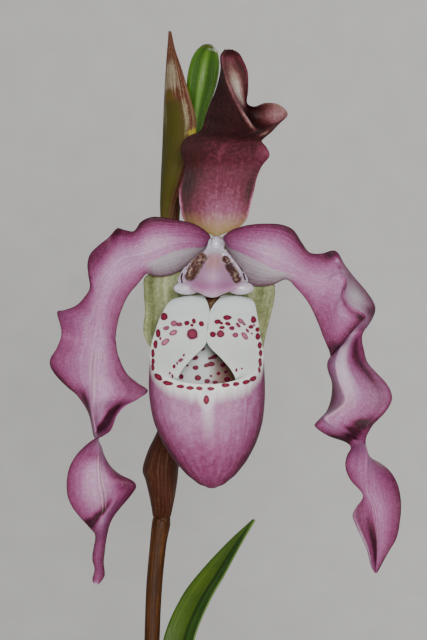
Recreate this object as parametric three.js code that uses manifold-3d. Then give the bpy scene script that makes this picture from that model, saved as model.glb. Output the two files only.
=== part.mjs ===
// A potted phragmipedium orchid in flower, in millimetres, Z up.
// The origin is the middle of the pot's flat underside, and the flower faces -Y.
import * as THREE from 'three';
import { mergeVertices } from 'three/addons/utils/BufferGeometryUtils.js';
import Module from 'manifold-3d';

const wasm = await Module();
wasm.setup();

// ---------------------------------------------------------------- places and main sizes
const FLOWER = [23, -30, 400];     // middle of the flower, where its parts meet
const FAN_TURN = 40;               // degrees from +X to the plane that the leaves spread in
const PLANT_FOOT = 95.6;           // height where leaves and scape leave the rootstock
const GAP = 0.35;                  // air between pieces that touch
const POT = { height: 110, top: 60, bottom: 44, wall: 2.2, floor: 3, rim: 9, lip: 2 };
const MIX_TOP = 97;                // mean height of the potting mix
const PIT = 20.6;                  // radius of the hole that the leaf bases stand in

const COLOUR = {
  pot: 0x6b4a3a, mix: 0x4a3020, root: 0x9a8a5a, leaf: 0x4f8a24, scape: 0x8a6428, bract: 0x7a4a34,
  sheath: 0x9a8058, ovary: 0x6e7a34, bud: 0x6fa832, sepal: 0xc2c596, dorsal: 0xb4708e,
  petal: 0xb8709c, pouch: 0xb27496, column: 0xd4a2be,
};

// ---------------------------------------------------------------- small vector helpers
const add = (a, b) => a.map((n, i) => n + b[i]);
const sub = (a, b) => a.map((n, i) => n - b[i]);
const scale = (a, k) => a.map((n) => n * k);
const dot = (a, b) => a.reduce((sum, n, i) => sum + n * b[i], 0);
const cross = (a, b) => [
  a[1] * b[2] - a[2] * b[1], a[2] * b[0] - a[0] * b[2], a[0] * b[1] - a[1] * b[0]];
const unit = (a) => scale(a, 1 / (Math.hypot(...a) || 1));
const radians = (degrees) => degrees * Math.PI / 180;

// A smooth curve through rows of numbers; t runs from 0 at the first row to 1 at the last.
function sample(rows, t, closed = false) {
  const count = rows.length;
  const spans = closed ? count : count - 1;
  const place = closed ? t * spans : Math.min(Math.max(t, 0), 1) * spans;
  const k = Math.min(Math.floor(place), spans - 1);
  const u = place - k;
  const pick = (i) => rows[closed ? (i + count) % count : Math.min(Math.max(i, 0), count - 1)];
  const [a, b, c, d] = [pick(k - 1), pick(k), pick(k + 1), pick(k + 2)];
  return b.map((n, i) => n + 0.5 * u * (c[i] - a[i]
    + u * (2 * a[i] - 5 * n + 4 * c[i] - d[i] + u * (3 * (n - c[i]) + d[i] - a[i]))));
}

// ---------------------------------------------------------------- closed meshes
function geometryOf(points, triangles) {
  const geometry = new THREE.BufferGeometry();
  geometry.setAttribute('position', new THREE.Float32BufferAttribute(points.flat(), 3));
  geometry.setIndex(triangles.flat());
  let volume = 0;
  for (const [a, b, c] of triangles) {
    volume += dot(points[a], cross(points[b], points[c]));
  }
  if (volume < 0) {
    geometry.setIndex(triangles.map(([a, b, c]) => [a, c, b]).flat());
  }
  return geometry;
}

// Rings of points, one after another, each closed on itself, with a fan on each end.
function closeRings(rings, startPole, endPole) {
  const size = rings[0].length;
  const points = [...rings.flat(), startPole, endPole];
  const first = points.length - 2;
  const last = points.length - 1;
  const triangles = [];
  for (let i = 0; i < rings.length - 1; i++) {
    for (let j = 0; j < size; j++) {
      const k = (j + 1) % size;
      const [a, b, c, d] = [i * size + j, i * size + k, (i + 1) * size + k, (i + 1) * size + j];
      triangles.push([a, b, c], [a, c, d]);
    }
  }
  const tail = (rings.length - 1) * size;
  for (let j = 0; j < size; j++) {
    const k = (j + 1) % size;
    triangles.push([k, j, first], [tail + j, tail + k, last]);
  }
  return geometryOf(points, triangles);
}

// A sheet of points, thickened to both sides. The two faces are split into triangles alike.
function thicken(grid, thickness) {
  const rows = grid.length;
  const cols = grid[0].length;
  const normals = grid.map((line, i) => line.map((point, j) => {
    const along = sub(grid[Math.min(i + 1, rows - 1)][j], grid[Math.max(i - 1, 0)][j]);
    const across = sub(line[Math.min(j + 1, cols - 1)], line[Math.max(j - 1, 0)]);
    return unit(cross(across, along));
  }));
  const face = (side) => grid.flatMap((line, i) => line.map(
    (point, j) => add(point, scale(normals[i][j], side * thickness / 2))));
  const points = [...face(1), ...face(-1)];
  const back = rows * cols;
  const triangles = [];
  const wall = (a, b) => triangles.push([a, a + back, b + back], [a, b + back, b]);
  for (let i = 0; i < rows - 1; i++) {
    for (let j = 0; j < cols - 1; j++) {
      const [a, b, c, d] = [i * cols + j, i * cols + j + 1, (i + 1) * cols + j + 1, (i + 1) * cols + j];
      triangles.push([a, b, c], [a, c, d]);
      triangles.push([a + back, c + back, b + back], [a + back, d + back, c + back]);
    }
    wall((i + 1) * cols, i * cols);
    wall((i + 1) * cols - 1, (i + 2) * cols - 1);
  }
  for (let j = 0; j < cols - 1; j++) {
    wall(j, j + 1);
    wall((rows - 1) * cols + j + 1, (rows - 1) * cols + j);
  }
  return geometryOf(points, triangles);
}

// A leaf, sepal or petal. Each station is [midrib, one margin, other margin, fold, fold]: a fold
// is how far the middle of that half stands off the straight line from midrib to margin.
function blade(stations, { along, across, thickness }) {
  const flat = [0, 0, 0];
  const rows = stations.map(([mid, one, two, foldOne = flat, foldTwo = flat]) =>
    [...mid, ...one, ...two, ...foldOne, ...foldTwo]);
  const grid = [];
  for (let i = 0; i <= along; i++) {
    const row = sample(rows, i / along);
    const line = [];
    for (let j = 0; j <= across; j++) {
      line.push(bladePoint(row, 2 * j / across - 1));
    }
    grid.push(line);
  }
  return thicken(grid, thickness);
}

function bladePoint(row, s) {
  const reach = Math.abs(s);
  const side = s < 0 ? 3 : 6;
  const arch = 4 * reach * (1 - reach);
  const mid = row.slice(0, 3);
  return mid.map((n, i) => n + (row[side + i] - n) * reach + row[side + 6 + i] * arch);
}

// A round stem along a path; each row is [x, y, z, radius]. Ribs raise its surface in ridges.
function stem(rows, { along, sides, ribs = 0, depth = 0 }) {
  const rings = [];
  let side = null;
  for (let i = 0; i <= along; i++) {
    const t = i / along;
    const here = sample(rows, t);
    const step = 0.5 / along;
    const ahead = unit(sub(sample(rows, t + step).slice(0, 3), sample(rows, t - step).slice(0, 3)));
    const seed = side || (Math.abs(ahead[2]) > 0.9 ? [1, 0, 0] : [0, 0, 1]);
    side = unit(sub(seed, scale(ahead, dot(seed, ahead))));
    const other = cross(ahead, side);
    const ring = [];
    for (let j = 0; j < sides; j++) {
      const turn = 2 * Math.PI * j / sides;
      const radius = here[3] * (1 + depth * Math.cos(ribs * turn));
      ring.push(add(here.slice(0, 3), add(
        scale(side, radius * Math.cos(turn)), scale(other, radius * Math.sin(turn)))));
    }
    rings.push(ring);
  }
  return closeRings(rings, rows[0].slice(0, 3), rows[rows.length - 1].slice(0, 3));
}

// ---------------------------------------------------------------- solids to join and cut
function toSolid(geometry) {
  const bare = geometry.clone();
  bare.deleteAttribute('normal');
  bare.deleteAttribute('uv');
  const merged = mergeVertices(bare, 1e-4);
  return new wasm.Manifold(new wasm.Mesh({
    numProp: 3,
    vertProperties: new Float32Array(merged.attributes.position.array),
    triVerts: new Uint32Array(merged.index.array),
  }));
}

function fromSolid(solid) {
  const mesh = solid.getMesh();
  const geometry = new THREE.BufferGeometry();
  geometry.setAttribute('position', new THREE.BufferAttribute(new Float32Array(mesh.vertProperties), 3));
  geometry.setIndex(new THREE.BufferAttribute(new Uint32Array(mesh.triVerts), 1));
  return geometry;
}

function join(geometries) {
  return fromSolid(geometries.map(toSolid).reduce((whole, piece) => whole.add(piece)));
}

function ellipsoid(middle, radii, across = 14, down = 9) {
  const geometry = new THREE.SphereGeometry(1, across, down);
  geometry.scale(...radii);
  geometry.translate(...middle);
  return geometry;
}

// ---------------------------------------------------------------- sepals
// Sizes in the flower's own frame: x to the right, y away from the viewer, z up.
const DORSAL = [
  [[-0.3, 4.6, 0.9], [-1.1, 4.6, 0.9], [0.7, 4.6, 0.9]],
  [[-0.1, 4.5, 2.9], [-6.3, 4, 2.9], [6.3, 4, 3.2]],
  [[0, 4, 5.9], [-9.9, 3.2, 5.5], [9, 3.2, 5.8]],
  [[0.2, 3.6, 9.5], [-11.1, 2.6, 9.4], [10.2, 2.4, 9.4]],
  [[0.5, 3, 14], [-11.4, 2, 14.2], [11.1, 2, 13.9]],
  [[0.8, 2, 17.8], [-10.5, 2.4, 18.1], [12, 1, 18.1]],
  [[1.1, 1, 21.7], [-9.8, 1.4, 21.7], [13.5, 0, 21.6]],
  [[1.5, -1, 24.5], [-10.5, -0.5, 24.6], [15.7, -2, 24.5]],
  [[2.4, -2.5, 26.8], [-10.9, -2, 26.9], [14.9, -3, 26.8]],
  [[4.2, -4, 28.5], [-9.9, -3, 29.2], [13.4, -4, 28.6]],
  [[6.8, -6, 29.8], [-7.5, -4, 30.7], [14, -5, 29.6]],
  [[9.5, -9, 30.6], [-5.4, -5, 31.5], [16.1, -6, 31.3]],
  [[11.2, -12, 31.3], [-4.2, -6, 33.1], [18.7, -7, 33.9], [0, 0, 0], [0, 2, 0]],
  [[10.3, -14, 32.4], [-3.6, -7, 35.1], [20.9, -8, 36.5], [0, 0, 0], [-1, 4.5, -2]],
  [[9.1, -15.5, 34.1], [-3.1, -8, 36.5], [18.4, -7, 39.3], [0, 0, 0], [-1.5, 6.5, -2.5]],
  [[7.9, -16.5, 35.7], [-2.5, -9, 38.2], [14.5, -7, 39.8], [0, 0, 0], [-1, 7, -2]],
  [[6.7, -17, 37.5], [-1.8, -10, 39.9], [11, -8, 38.6], [0, 0, 0], [0, 6, 0]],
  [[5.5, -17.5, 39.5], [-0.9, -11, 41.8], [8.7, -11, 39.5], [0, 0, 0], [1, 4, 0]],
  [[4.4, -18, 41.7], [0, -12.5, 44.3], [9, -13, 42.5], [0, 0, 0], [0.6, 3, 0]],
  [[3.2, -18.5, 44.6], [0.7, -14, 46.8], [9.1, -14, 46], [0, 0, 0], [0.5, 2.6, 0]],
  [[2.3, -19, 47.5], [1.1, -16, 49.3], [8.8, -15, 48.8], [0, 0, 0], [0.4, 2.4, 0]],
  [[1.7, -19.5, 50.1], [1, -18, 51.1], [7.7, -16, 51.3], [0, 0, 0], [0, 2.4, 0]],
  [[1.6, -20, 52.3], [1.1, -19.3, 52.7], [6.4, -17, 53.4], [0, 0, 0], [0, 2, 0]],
  [[2.6, -19.5, 54.1], [2.3, -19.3, 54.5], [4.4, -18, 54.5]],
];

const SYNSEPAL = [
  [[-0.5, 4.4, -4.4], [-1.5, 4.4, -4.4], [0.7, 4.4, -4.4]],
  [[-0.5, 5, -7], [-10.5, 4.8, -7], [8.5, 4.8, -7]],
  [[-1, 5.8, -11], [-21, 4.2, -11], [16, 4.6, -11]],
  [[-1, 6.5, -17], [-22, 2.4, -16], [17.5, 3.4, -15.5]],
  [[-1.5, 6.5, -23], [-21.6, 0.5, -22], [16.5, 0.5, -21.5]],
  [[-2, 6, -30.5], [-22, 0, -28.8], [14.5, 0, -29.5]],
  [[-2, 5, -37.5], [-18.5, 0, -35.2], [13, 0, -36]],
  [[-2.5, 3.5, -44], [-14.5, 0, -44], [8.5, 0, -44]],
  [[-2.5, 2, -49.5], [-9, 0, -49], [3.5, 0, -49]],
  [[-2.5, 1, -52.5], [-3.5, 1, -52.3], [-1.5, 1, -52.3]],
];

// ---------------------------------------------------------------- petals
// From the flower out and down to the tip: midrib, outer margin, inner margin, folds.
const PETAL_LEFT = [
  [[-2.85, 2.8, -1.7], [-1.9, 2.8, 0.6], [-2.6, 3, -3.2]],
  [[-4.8, 0, -2.6], [-3.9, 2, 2.6], [-5.1, 3, -4.7]],
  [[-8.1, -1.5, -2.7], [-7.2, 1, 4.4], [-8.7, 3.5, -8.3]],
  [[-11.7, -2.5, -3.4], [-11.1, 0.5, 5.3], [-12.3, 3, -10.4]],
  [[-14.9, -3, -4.6], [-15.3, 0, 6], [-15.6, 2, -11.4]],
  [[-17.9, -3.5, -6.1], [-19.5, -0.5, 6.3], [-18.6, 0, -11.4]],
  [[-20.3, -3.8, -7], [-22.8, 0, 4.8], [-20.9, -2.5, -10.7]],
  [[-23.9, -4, -7.3], [-24.9, -1, 2.1], [-22.5, -3.5, -12.4]],
  [[-26.6, -4, -7.9], [-27.6, 0.5, 2.4], [-24.2, -3.5, -14.5]],
  [[-28.9, -4, -9.4], [-30.1, 1.5, 2.9], [-25.7, -3.5, -16.2]],
  [[-31.3, -4, -11.2], [-32, -1.5, 0.5], [-26.9, -3.5, -18]],
  [[-33.1, -4, -13.6], [-36, 0, -2.7], [-27.9, -3.5, -20.1]],
  [[-34, -4, -15.7], [-38.2, 1, -5.1], [-28.7, -3.5, -22.2]],
  [[-34.6, -4, -17.7], [-38.9, 0.5, -8.4], [-29.3, -3, -24]],
  [[-35.1, -4, -19.5], [-38.3, -1.5, -12.3], [-29.7, -3, -25.8]],
  [[-35.4, -4, -21.3], [-38, -2.5, -15], [-30, -3, -27.3]],
  [[-35.5, -4, -23.1], [-40.1, -2, -18.3], [-30.2, -3, -28.8]],
  [[-35.7, -4, -24.6], [-42.7, 1, -20.5], [-30.3, -3, -30]],
  [[-35.8, -4, -26.4], [-46.1, 2.5, -21.7], [-30.2, -3, -31.2]],
  [[-35.9, -4.2, -28.2], [-48.1, 2, -22.3], [-30, -3.2, -32.4]],
  [[-36.1, -4.2, -30], [-47, -1.5, -25.8], [-29.9, -3.2, -33.6]],
  [[-36.2, -4.4, -31.8], [-46.5, -3, -29.1], [-29.6, -3.4, -34.8]],
  [[-36.4, -4.6, -33.8], [-47.9, -1, -32.7], [-29.1, -3.6, -36.2]],
  [[-36.7, -4.8, -35.9], [-50.1, 2, -36.3], [-28.5, -3.8, -37.7]],
  [[-36.9, -5, -38.3], [-49.9, 1.5, -39], [-27.6, -4, -39.5]],
  [[-37.1, -5.2, -40.7], [-47.9, -1, -41.7], [-26.2, -4.2, -41.3]],
  [[-37.2, -5.4, -43.1], [-44.9, -2, -44.6], [-23.6, -4.5, -43.4]],
  [[-37.4, -5.6, -45.4], [-42.2, -1, -46.8], [-20.6, -5, -45.7]],
  [[-37.3, -5.8, -48.1], [-40.2, 0, -49.5], [-23.5, -6, -48.1]],
  [[-37.2, -5.6, -50.8], [-38.7, 0.5, -52.2], [-27.3, -7, -50.1], [0, 0, 0], [0, 3.5, 0]],
  [[-36.9, -5, -53.5], [-37.9, 1, -54.9], [-29.7, -8, -52.8], [0, 0, 0], [0, 4, 0]],
  [[-36.5, -4, -55.9], [-37.5, 2, -57.4], [-30.7, -9, -55.4], [0, 0, 0], [-1, 4, 0]],
  [[-36.1, -4, -58], [-37.1, 3, -59.5], [-31.7, -10, -57.4], [0, 0, 0], [-1, 2, 0]],
  [[-35.5, -4, -59.8], [-36, 3.5, -61.1], [-33.9, -10.5, -58.9], [0, 0, 0], [-0.6, 0, 0]],
  [[-35.5, -4.5, -61.3], [-34.9, 2.5, -62.5], [-36.7, -10, -60.1]],
  [[-35.3, -5, -63.3], [-34.2, 1, -64.6], [-40, -9, -62.8]],
  [[-35.1, -5.5, -65.7], [-33, -0.5, -66.9], [-42.3, -8, -65.5]],
  [[-35, -6, -68], [-31.4, -2, -68.9], [-43.8, -7, -68.3]],
  [[-34.7, -6, -70.7], [-28.7, -3.5, -70.9], [-44.6, -6, -71.3]],
  [[-34.4, -6, -73.4], [-25, -5, -72.6], [-44.8, -5, -74.3]],
  [[-33.9, -5.5, -76.1], [-24.1, -6.5, -74.2], [-44.5, -4, -77.4], [0, 2, 0]],
  [[-33.7, -4.5, -78.6], [-25.8, -8, -76.8], [-43.2, -3, -80.5], [0, 3, 0]],
  [[-33.7, -3.5, -81], [-28.3, -9, -79.7], [-41.3, -2, -83.2], [0, 3, 0]],
  [[-34.4, -3, -83.4], [-30.5, -9.5, -82.5], [-39.4, -1, -85.4], [0, 2, 0]],
  [[-34.5, -3.5, -85.8], [-31.8, -9, -85], [-37.8, 0, -87.3], [0, 1, 0]],
  [[-34.6, -5, -88.3], [-32.6, -8, -88.1], [-36.3, -2, -88.9]],
  [[-35, -6, -90.9], [-33.1, -7.5, -91.1], [-36.5, -5, -91.3]],
  [[-35.2, -6.5, -93.6], [-33.4, -7.5, -93.8], [-37, -6, -93.9]],
  [[-35.2, -6.5, -96.2], [-33.7, -7.5, -96.4], [-37, -6, -96.3]],
  [[-35.1, -6.5, -98.6], [-33.5, -7.5, -98.5], [-36.3, -6, -98.7]],
  [[-35.2, -6.5, -100.7], [-33.4, -7, -100.6], [-36.9, -6, -101]],
  [[-35.7, -6.5, -102.3], [-34.6, -6.5, -102.5], [-37, -6.5, -102.2]],
  [[-36, -6.5, -103.2], [-35.5, -6.5, -103.2], [-36.4, -6.5, -103.1]],
];

const PETAL_RIGHT = [
  [[2.85, 2.8, -1.6], [1.8, 2.8, 0.6], [2.6, 3, -3.2]],
  [[4.5, 0, -3], [4.8, 2, 2.6], [5.1, 3, -7.1]],
  [[8.7, -2, -4.9], [9.3, 1, 3.9], [9, 3, -13.5]],
  [[12.8, -3.5, -7], [14.4, 0, 4.3], [13.5, 1.5, -14.4]],
  [[16.7, -4, -9.1], [19.2, -0.5, 4], [17.4, 0, -13.7]],
  [[20.3, -4.5, -10.3], [22.8, -1, 2.4], [20.9, -2.5, -12.3]],
  [[23.8, -4.5, -11.5], [25.4, -1.5, -1.5], [23.6, -3.5, -15]],
  [[27.1, -4, -12.7], [27.8, -2, -4.4], [26, -3.5, -17.7]],
  [[30.1, -4, -13.9], [31.5, -1, -4.7], [27.8, -3, -20.4]],
  [[32.8, -4, -13.6], [34.4, -1.5, -3.8], [29, -3, -22.8]],
  [[35.4, -5, -11.2], [36.2, -1, -4.5], [29.9, -3, -24.9]],
  [[37.8, -6, -11.8], [38.2, 1, -7.8], [30.8, -3, -27]],
  [[38.2, -6.5, -13.9], [41.3, 4, -11.6], [31.5, -3, -29.1]],
  [[37.4, -7, -16.3], [44.8, 6, -15.5], [32.3, -3, -30.9]],
  [[38, -7.5, -18.7], [47.3, 7, -19.1], [32.9, -3, -32.4]],
  [[39.7, -8, -20.7], [47.9, 7, -21.6], [33.5, -3, -33.6]],
  [[42.4, -8, -22.2], [46.8, 5, -24.3], [33.8, -3, -34.8]],
  [[43.9, -8, -23.7], [45.1, 2, -26.7], [34.1, -2.5, -35.2]],
  [[41.9, -2, -25.5], [44.6, 2.5, -27.3], [35.5, 1, -33]],
  [[40.7, 3, -27.9], [44, 3, -28.5], [35.6, 3, -32.7]],
  [[39.1, 1, -30.9], [43.6, 2, -30.6], [35.2, 1, -33.6]],
  [[36.7, -4, -33.3], [44, 0, -33.3], [34.1, -1, -35.4]],
  [[35.3, -7.5, -37.1], [44.9, -1, -37], [32.9, -3, -37.7]],
  [[35.6, -8, -40.3], [47.3, -2, -40], [33.4, -2, -40.2]],
  [[36.4, -8.5, -43.6], [50.2, -3, -43.1], [34.4, -1, -42.9]],
  [[37.5, -8.8, -46.5], [51.9, -4, -46.1], [34.6, 0, -45.6]],
  [[37.6, -9, -48.6], [52, -5, -48.7], [34.3, 1, -48.3]],
  [[36.4, -9.5, -50.2], [50.3, -6, -51.7], [33.6, 1, -50.7]],
  [[34, -9.5, -52], [48.1, -6.5, -54], [32.6, 0, -52.5]],
  [[31.4, -9, -53.9], [46.3, -7, -55.8], [30.4, -4, -54.4]],
  [[36.5, -7, -56.7], [45.2, -6.5, -57.6], [29.1, -7, -56.2]],
  [[40.3, -4, -58.9], [44.5, -5.5, -59.3], [33.4, -4, -59.2]],
  [[42.2, -2, -60.8], [44.3, -4, -61], [38.6, -1, -61.1]],
  [[44, -6, -62.1], [44.7, -3, -63.1], [40, -3, -62.8]],
  [[44.4, -9, -64.6], [45.4, -3, -65.5], [38.7, -6, -64.8]],
  [[44.2, -10, -67.2], [48.1, -3, -67], [38.1, -7, -67.4]],
  [[44, -10, -69.8], [50.9, -4, -69], [38.6, -7.5, -70]],
  [[43.8, -10, -72.5], [52.9, -5, -71.7], [40, -8, -72.6]],
  [[43.8, -9.5, -74.9], [54.1, -6, -74.9], [42.2, -8.5, -74.8]],
  [[44.7, -9, -77.3], [54.6, -7, -78.4], [43.3, -8.5, -77.1]],
  [[46.2, -8.5, -79.7], [54.6, -7, -81.6], [41.5, -8, -79.8]],
  [[46.8, -8, -82.7], [54.3, -7, -84.6], [40.2, -8, -82.6]],
  [[47.2, -7, -86.1], [53.8, -6.5, -87.9], [41.2, -9, -85.5]],
  [[47.6, -6, -89.4], [52.9, -6, -90.6], [42.9, -9, -89.2]],
  [[47.6, -5, -92.8], [51.4, -6, -93], [44.4, -8.5, -92.5]],
  [[47.5, -5, -95.8], [50, -6, -95.4], [45.2, -7.5, -95.5]],
  [[47.4, -5, -98.2], [48.6, -6, -97.9], [45.9, -6.5, -98]],
  [[47.3, -5.5, -99.9], [47.7, -5.5, -99.8], [46.9, -5.5, -99.8]],
];

// ---------------------------------------------------------------- pouch
// The pouch stands about a middle line of its own, and its mouth slopes up towards the column.
const POUCH_X = -3;
const POUCH_WALL = 1;
// The mouth leans to the right above this height, by LEAN at the height of the flaps' tops.
const LEAN_FROM = -32;
const LEAN_TOP = -18.8;
const LEAN = 1.5;
// Right half of the mouth, from the front round to the back: [fold line, free edge of the flap].
const MOUTH = [
  [[0, -38, -43], [0, -36.2, -44]],
  [[5.5, -37.2, -42.6], [5, -35.6, -43.4]],
  [[11, -34.5, -41.2], [8.4, -33.2, -42]],
  [[15, -30.5, -39], [7.4, -31.4, -39]],
  [[16.4, -26, -36], [4.6, -28, -35.6]],
  [[16.2, -21.5, -32], [0.5, -23.6, -31.2]],
  [[15.2, -17.5, -27.5], [0.35, -19.5, -26.4]],
  [[14.1, -14, -23], [0.35, -16, -22]],
  [[11.9, -11, -18.6], [2.2, -13, -18.4]],
  [[7, -8, -17.8], [3.8, -9.6, -17.8]],
  [[0, -6, -17.8], [0, -7.2, -17.8]],
];
// Level sections of the bag: [height, half width, front, back, sideways shift].
const BAG = [
  [-16, 12.5, -24, -6, 0], [-24, 14.6, -31, -5, 0], [-32, 16.2, -36, -4.6, 0],
  [-40, 16.8, -38, -4.8, 0], [-47, 16.8, -38.8, -5.6, 0.1], [-54, 15.8, -38.3, -7.6, 0.4],
  [-60, 13.6, -36.4, -11, 0.8], [-65.5, 10.4, -33.8, -15, 1.1], [-69.5, 7, -31, -18.6, 1.3],
  [-72.2, 3.6, -28, -21.6, 1.4], [-73.2, 1, -25.8, -23.8, 1.5],
];

function bagSection(z) {
  let k = 0;
  while (k < BAG.length - 2 && z < BAG[k + 1][0]) {
    k++;
  }
  const u = (z - BAG[k][0]) / (BAG[k + 1][0] - BAG[k][0]);
  const [, width, front, back, shift] = sample(BAG, (k + Math.min(Math.max(u, 0), 1)) / (BAG.length - 1));
  return { shift, width, middle: (front + back) / 2, depth: (back - front) / 2 };
}

function bagPoint(z, turn, inset) {
  const { shift, width, middle, depth } = bagSection(z);
  const x = shift + Math.max(width - inset, 0.2) * Math.cos(turn);
  return [x, middle + Math.max(depth - inset, 0.2) * Math.sin(turn), z];
}

// One line of the bag's skin, from the fold line of the mouth down to the toe.
function bagLine(fold, inset, steps) {
  const start = bagSection(fold[2]);
  const turn = Math.atan2((fold[1] - start.middle) / start.depth, (fold[0] - start.shift) / start.width);
  const toe = BAG[BAG.length - 1][0] + inset;
  const drift = sub(fold, bagPoint(fold[2], turn, 0));
  const line = [];
  for (let i = 0; i <= steps; i++) {
    const run = Math.sin(Math.PI / 2 * i / steps);
    const z = fold[2] - 0.6 * inset + (toe - fold[2] + 0.6 * inset) * run;
    line.push(add(bagPoint(z, turn, inset), scale(drift, (1 - run) ** 2)));
  }
  return line;
}

function leaned([x, y, z]) {
  const share = Math.max(z - LEAN_FROM, 0) / (LEAN_TOP - LEAN_FROM);
  return [x + LEAN * share * share, y, z];
}

function pouch({ around, down, flap }) {
  const left = MOUTH.slice(1, -1).reverse().map((row) => row.map(([x, y, z]) => [-x, y, z]));
  const mouth = [...MOUTH, ...left].map((row) => row.flat());
  const columns = [];
  for (let j = 0; j < around; j++) {
    const row = sample(mouth, j / around, true);
    const fold = row.slice(0, 3);
    const edge = row.slice(3);
    const outside = bagLine(fold, 0, down).reverse();
    const inside = bagLine(fold, POUCH_WALL, down);
    const top = [];
    const under = [];
    for (let i = 1; i <= flap; i++) {
      const k = i / flap;
      const dish = 4 * k * (1 - k);
      const onTop = fold.map((n, a) => n + (edge[a] - n) * k);
      top.push(add(onTop, [0, -0.5 * dish, 0.5 * dish]));
      under.push(add(onTop, [0, 0.7 - 0.5 * dish, -0.7 + 0.5 * dish]));
    }
    columns.push([...outside, ...top, ...under.reverse(), ...inside.slice(1)]);
  }
  const rings = columns[0].map((point, i) => columns.map((column) => leaned(column[i])));
  const toe = BAG[BAG.length - 1];
  const pole = (z) => [toe[4], (toe[2] + toe[3]) / 2, z];
  const geometry = closeRings(rings, pole(toe[0] - 0.1), pole(toe[0] + POUCH_WALL));
  geometry.translate(POUCH_X, 0, 0);
  return geometry;
}

// ---------------------------------------------------------------- column
const SHIELD = [
  [[-0.4, -6.4, -0.6], [-2.4, -5.8, -0.8], [1.7, -5.8, -0.8]],
  [[-0.5, -8.2, -3.4], [-3.4, -7, -3.6], [2.2, -7, -3.6], [0, 0.4, 0], [0, 0.4, 0]],
  [[-0.6, -9.8, -5.4], [-5.6, -7.8, -5.2], [3.8, -7.8, -5.2], [0, 0.8, 0], [0, 0.8, 0]],
  [[-0.8, -11.4, -8], [-8.6, -8.8, -7.8], [6.2, -8.8, -7.8], [0, 1.2, 0], [0, 1.2, 0]],
  [[-1, -13.2, -11], [-10.9, -10.2, -11], [8.4, -10.2, -11], [0, 1, 0], [0, 1, 0]],
  [[-1.2, -14.6, -13.6], [-11.4, -11.6, -13.6], [9, -11.6, -13.6], [0, -0.2, 0], [0, -0.2, 0]],
  [[-1.3, -15.2, -15.6], [-8.4, -13.4, -15.2], [6, -13.4, -15.2], [0, -0.6, 0], [0, -0.6, 0]],
  [[-1.4, -15.2, -17], [-4.8, -14.6, -16.6], [2, -14.6, -16.6], [0, -0.3, 0], [0, -0.3, 0]],
  [[-1.4, -14.8, -17.6], [-2.6, -14.7, -17.5], [-0.2, -14.7, -17.5]],
];
const SHOULDERS = [[-8.9, -12.2, -15.2], [6.9, -12.2, -15.2]];

function column() {
  const hub = stem([
    [0, 5.4, -1.6, 2], [0, 2, -1.6, 2.1], [0, -2, -1.6, 2.3], [-0.2, -5, -2.4, 2.5], [-0.4, -7, -3.4, 2.2],
  ], { along: 6, sides: 12 });
  const knob = ellipsoid([-0.3, -7.4, -2], [1.6, 1.8, 2.3], 10, 6);
  const shield = blade(SHIELD, { along: 10, across: 8, thickness: 1.5 });
  const shoulders = SHOULDERS.map((middle) => ellipsoid(middle, [4, 2, 2], 10, 6));
  return join([hub, knob, shield, ...shoulders]);
}

// ---------------------------------------------------------------- scape, bracts, ovary and bud
const SCAPE = [
  [0, 0, PLANT_FOOT, 3.3], [-0.4, 0, 130, 2.8], [-0.2, 0, 165, 2.6], [0.4, 0, 196, 2.6],
  [0.8, 0, 200, 3], [1, 0, 204, 2.5], [1.8, 0, 240, 2.4], [2.7, 0, 275, 2.4], [3.4, 0, 292, 2.5],
  [4.6, 0, 305, 2.6], [5.6, 0, 312, 2.9], [6.1, 0, 316, 2.4], [7, 0, 340, 2.2], [8.4, 0, 380, 2.1],
  [9.2, 0, 406, 2.1], [9.4, 0, 415, 2.5], [9.4, 0, 419, 1.9], [9.4, 0, 426, 0.9],
];
const OVARY = [
  [6.2, -5, 318, 1.3], [6.6, -5.6, 323, 1.6], [8.6, -7.6, 340, 1.9], [12.4, -11, 360, 2.4],
  [16.4, -15, 378, 2.9], [20.4, -18.2, 391, 3.1], [22.8, -21.2, 397.8, 2.8], [23, -23.9, 398.4, 2.1],
];
const BUD = [
  [10.8, -3.6, 417.5, 1], [13, -5, 421, 1.2], [15, -5.6, 427, 1.4], [16, -5.5, 433, 2.1],
  [16.5, -5.4, 437.5, 2.8], [17.1, -5.3, 442.2, 3.6], [17.9, -5.2, 446.9, 4.5], [18.7, -5.2, 451.5, 4.9],
  [19.6, -5.4, 456.2, 4.4], [20.4, -5.8, 459.3, 3], [20.8, -6.2, 460.6, 1.2],
];
// The bract under the flower is a boat that opens to the back and holds the ovary's foot.
const FLORAL_BRACT = [
  [[5.8, -3.8, 314], [3.2, -2.4, 314.4], [8.5, -2.4, 314.4], [-0.7, -0.5, 0], [0.7, -0.5, 0]],
  [[6, -7, 317], [2.8, -2.5, 317.4], [9.1, -2.5, 317.4], [-0.9, -1, 0], [0.9, -1, 0]],
  [[6, -8.8, 320.5], [2, -2.8, 321], [9.9, -2.8, 321], [-0.9, -1.4, 0], [0.9, -1.4, 0]],
  [[5.8, -9.8, 325], [0.9, -3.4, 325.5], [10.6, -3.4, 325.5], [-0.8, -1.7, 0], [0.8, -1.7, 0]],
  [[5.6, -10.8, 329], [0, -4.4, 329], [11, -4.6, 329.5], [-0.7, -1.8, 0], [0.8, -1.8, 0]],
  [[6, -12, 334], [1.6, -6.6, 334.5], [11.6, -7, 335], [-0.5, -1.8, 0], [0.6, -1.8, 0]],
  [[7, -13.4, 340], [4.2, -9.4, 340], [12, -9.8, 341], [-0.2, -1.4, 0], [0.4, -1.4, 0]],
  [[8.2, -14.6, 346], [6.8, -12.4, 346], [11.4, -12.6, 346.4], [0, -0.8, 0], [0, -0.8, 0]],
  [[9.2, -15.4, 351], [8.6, -15, 350.8], [10, -15, 350.8]],
];
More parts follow.
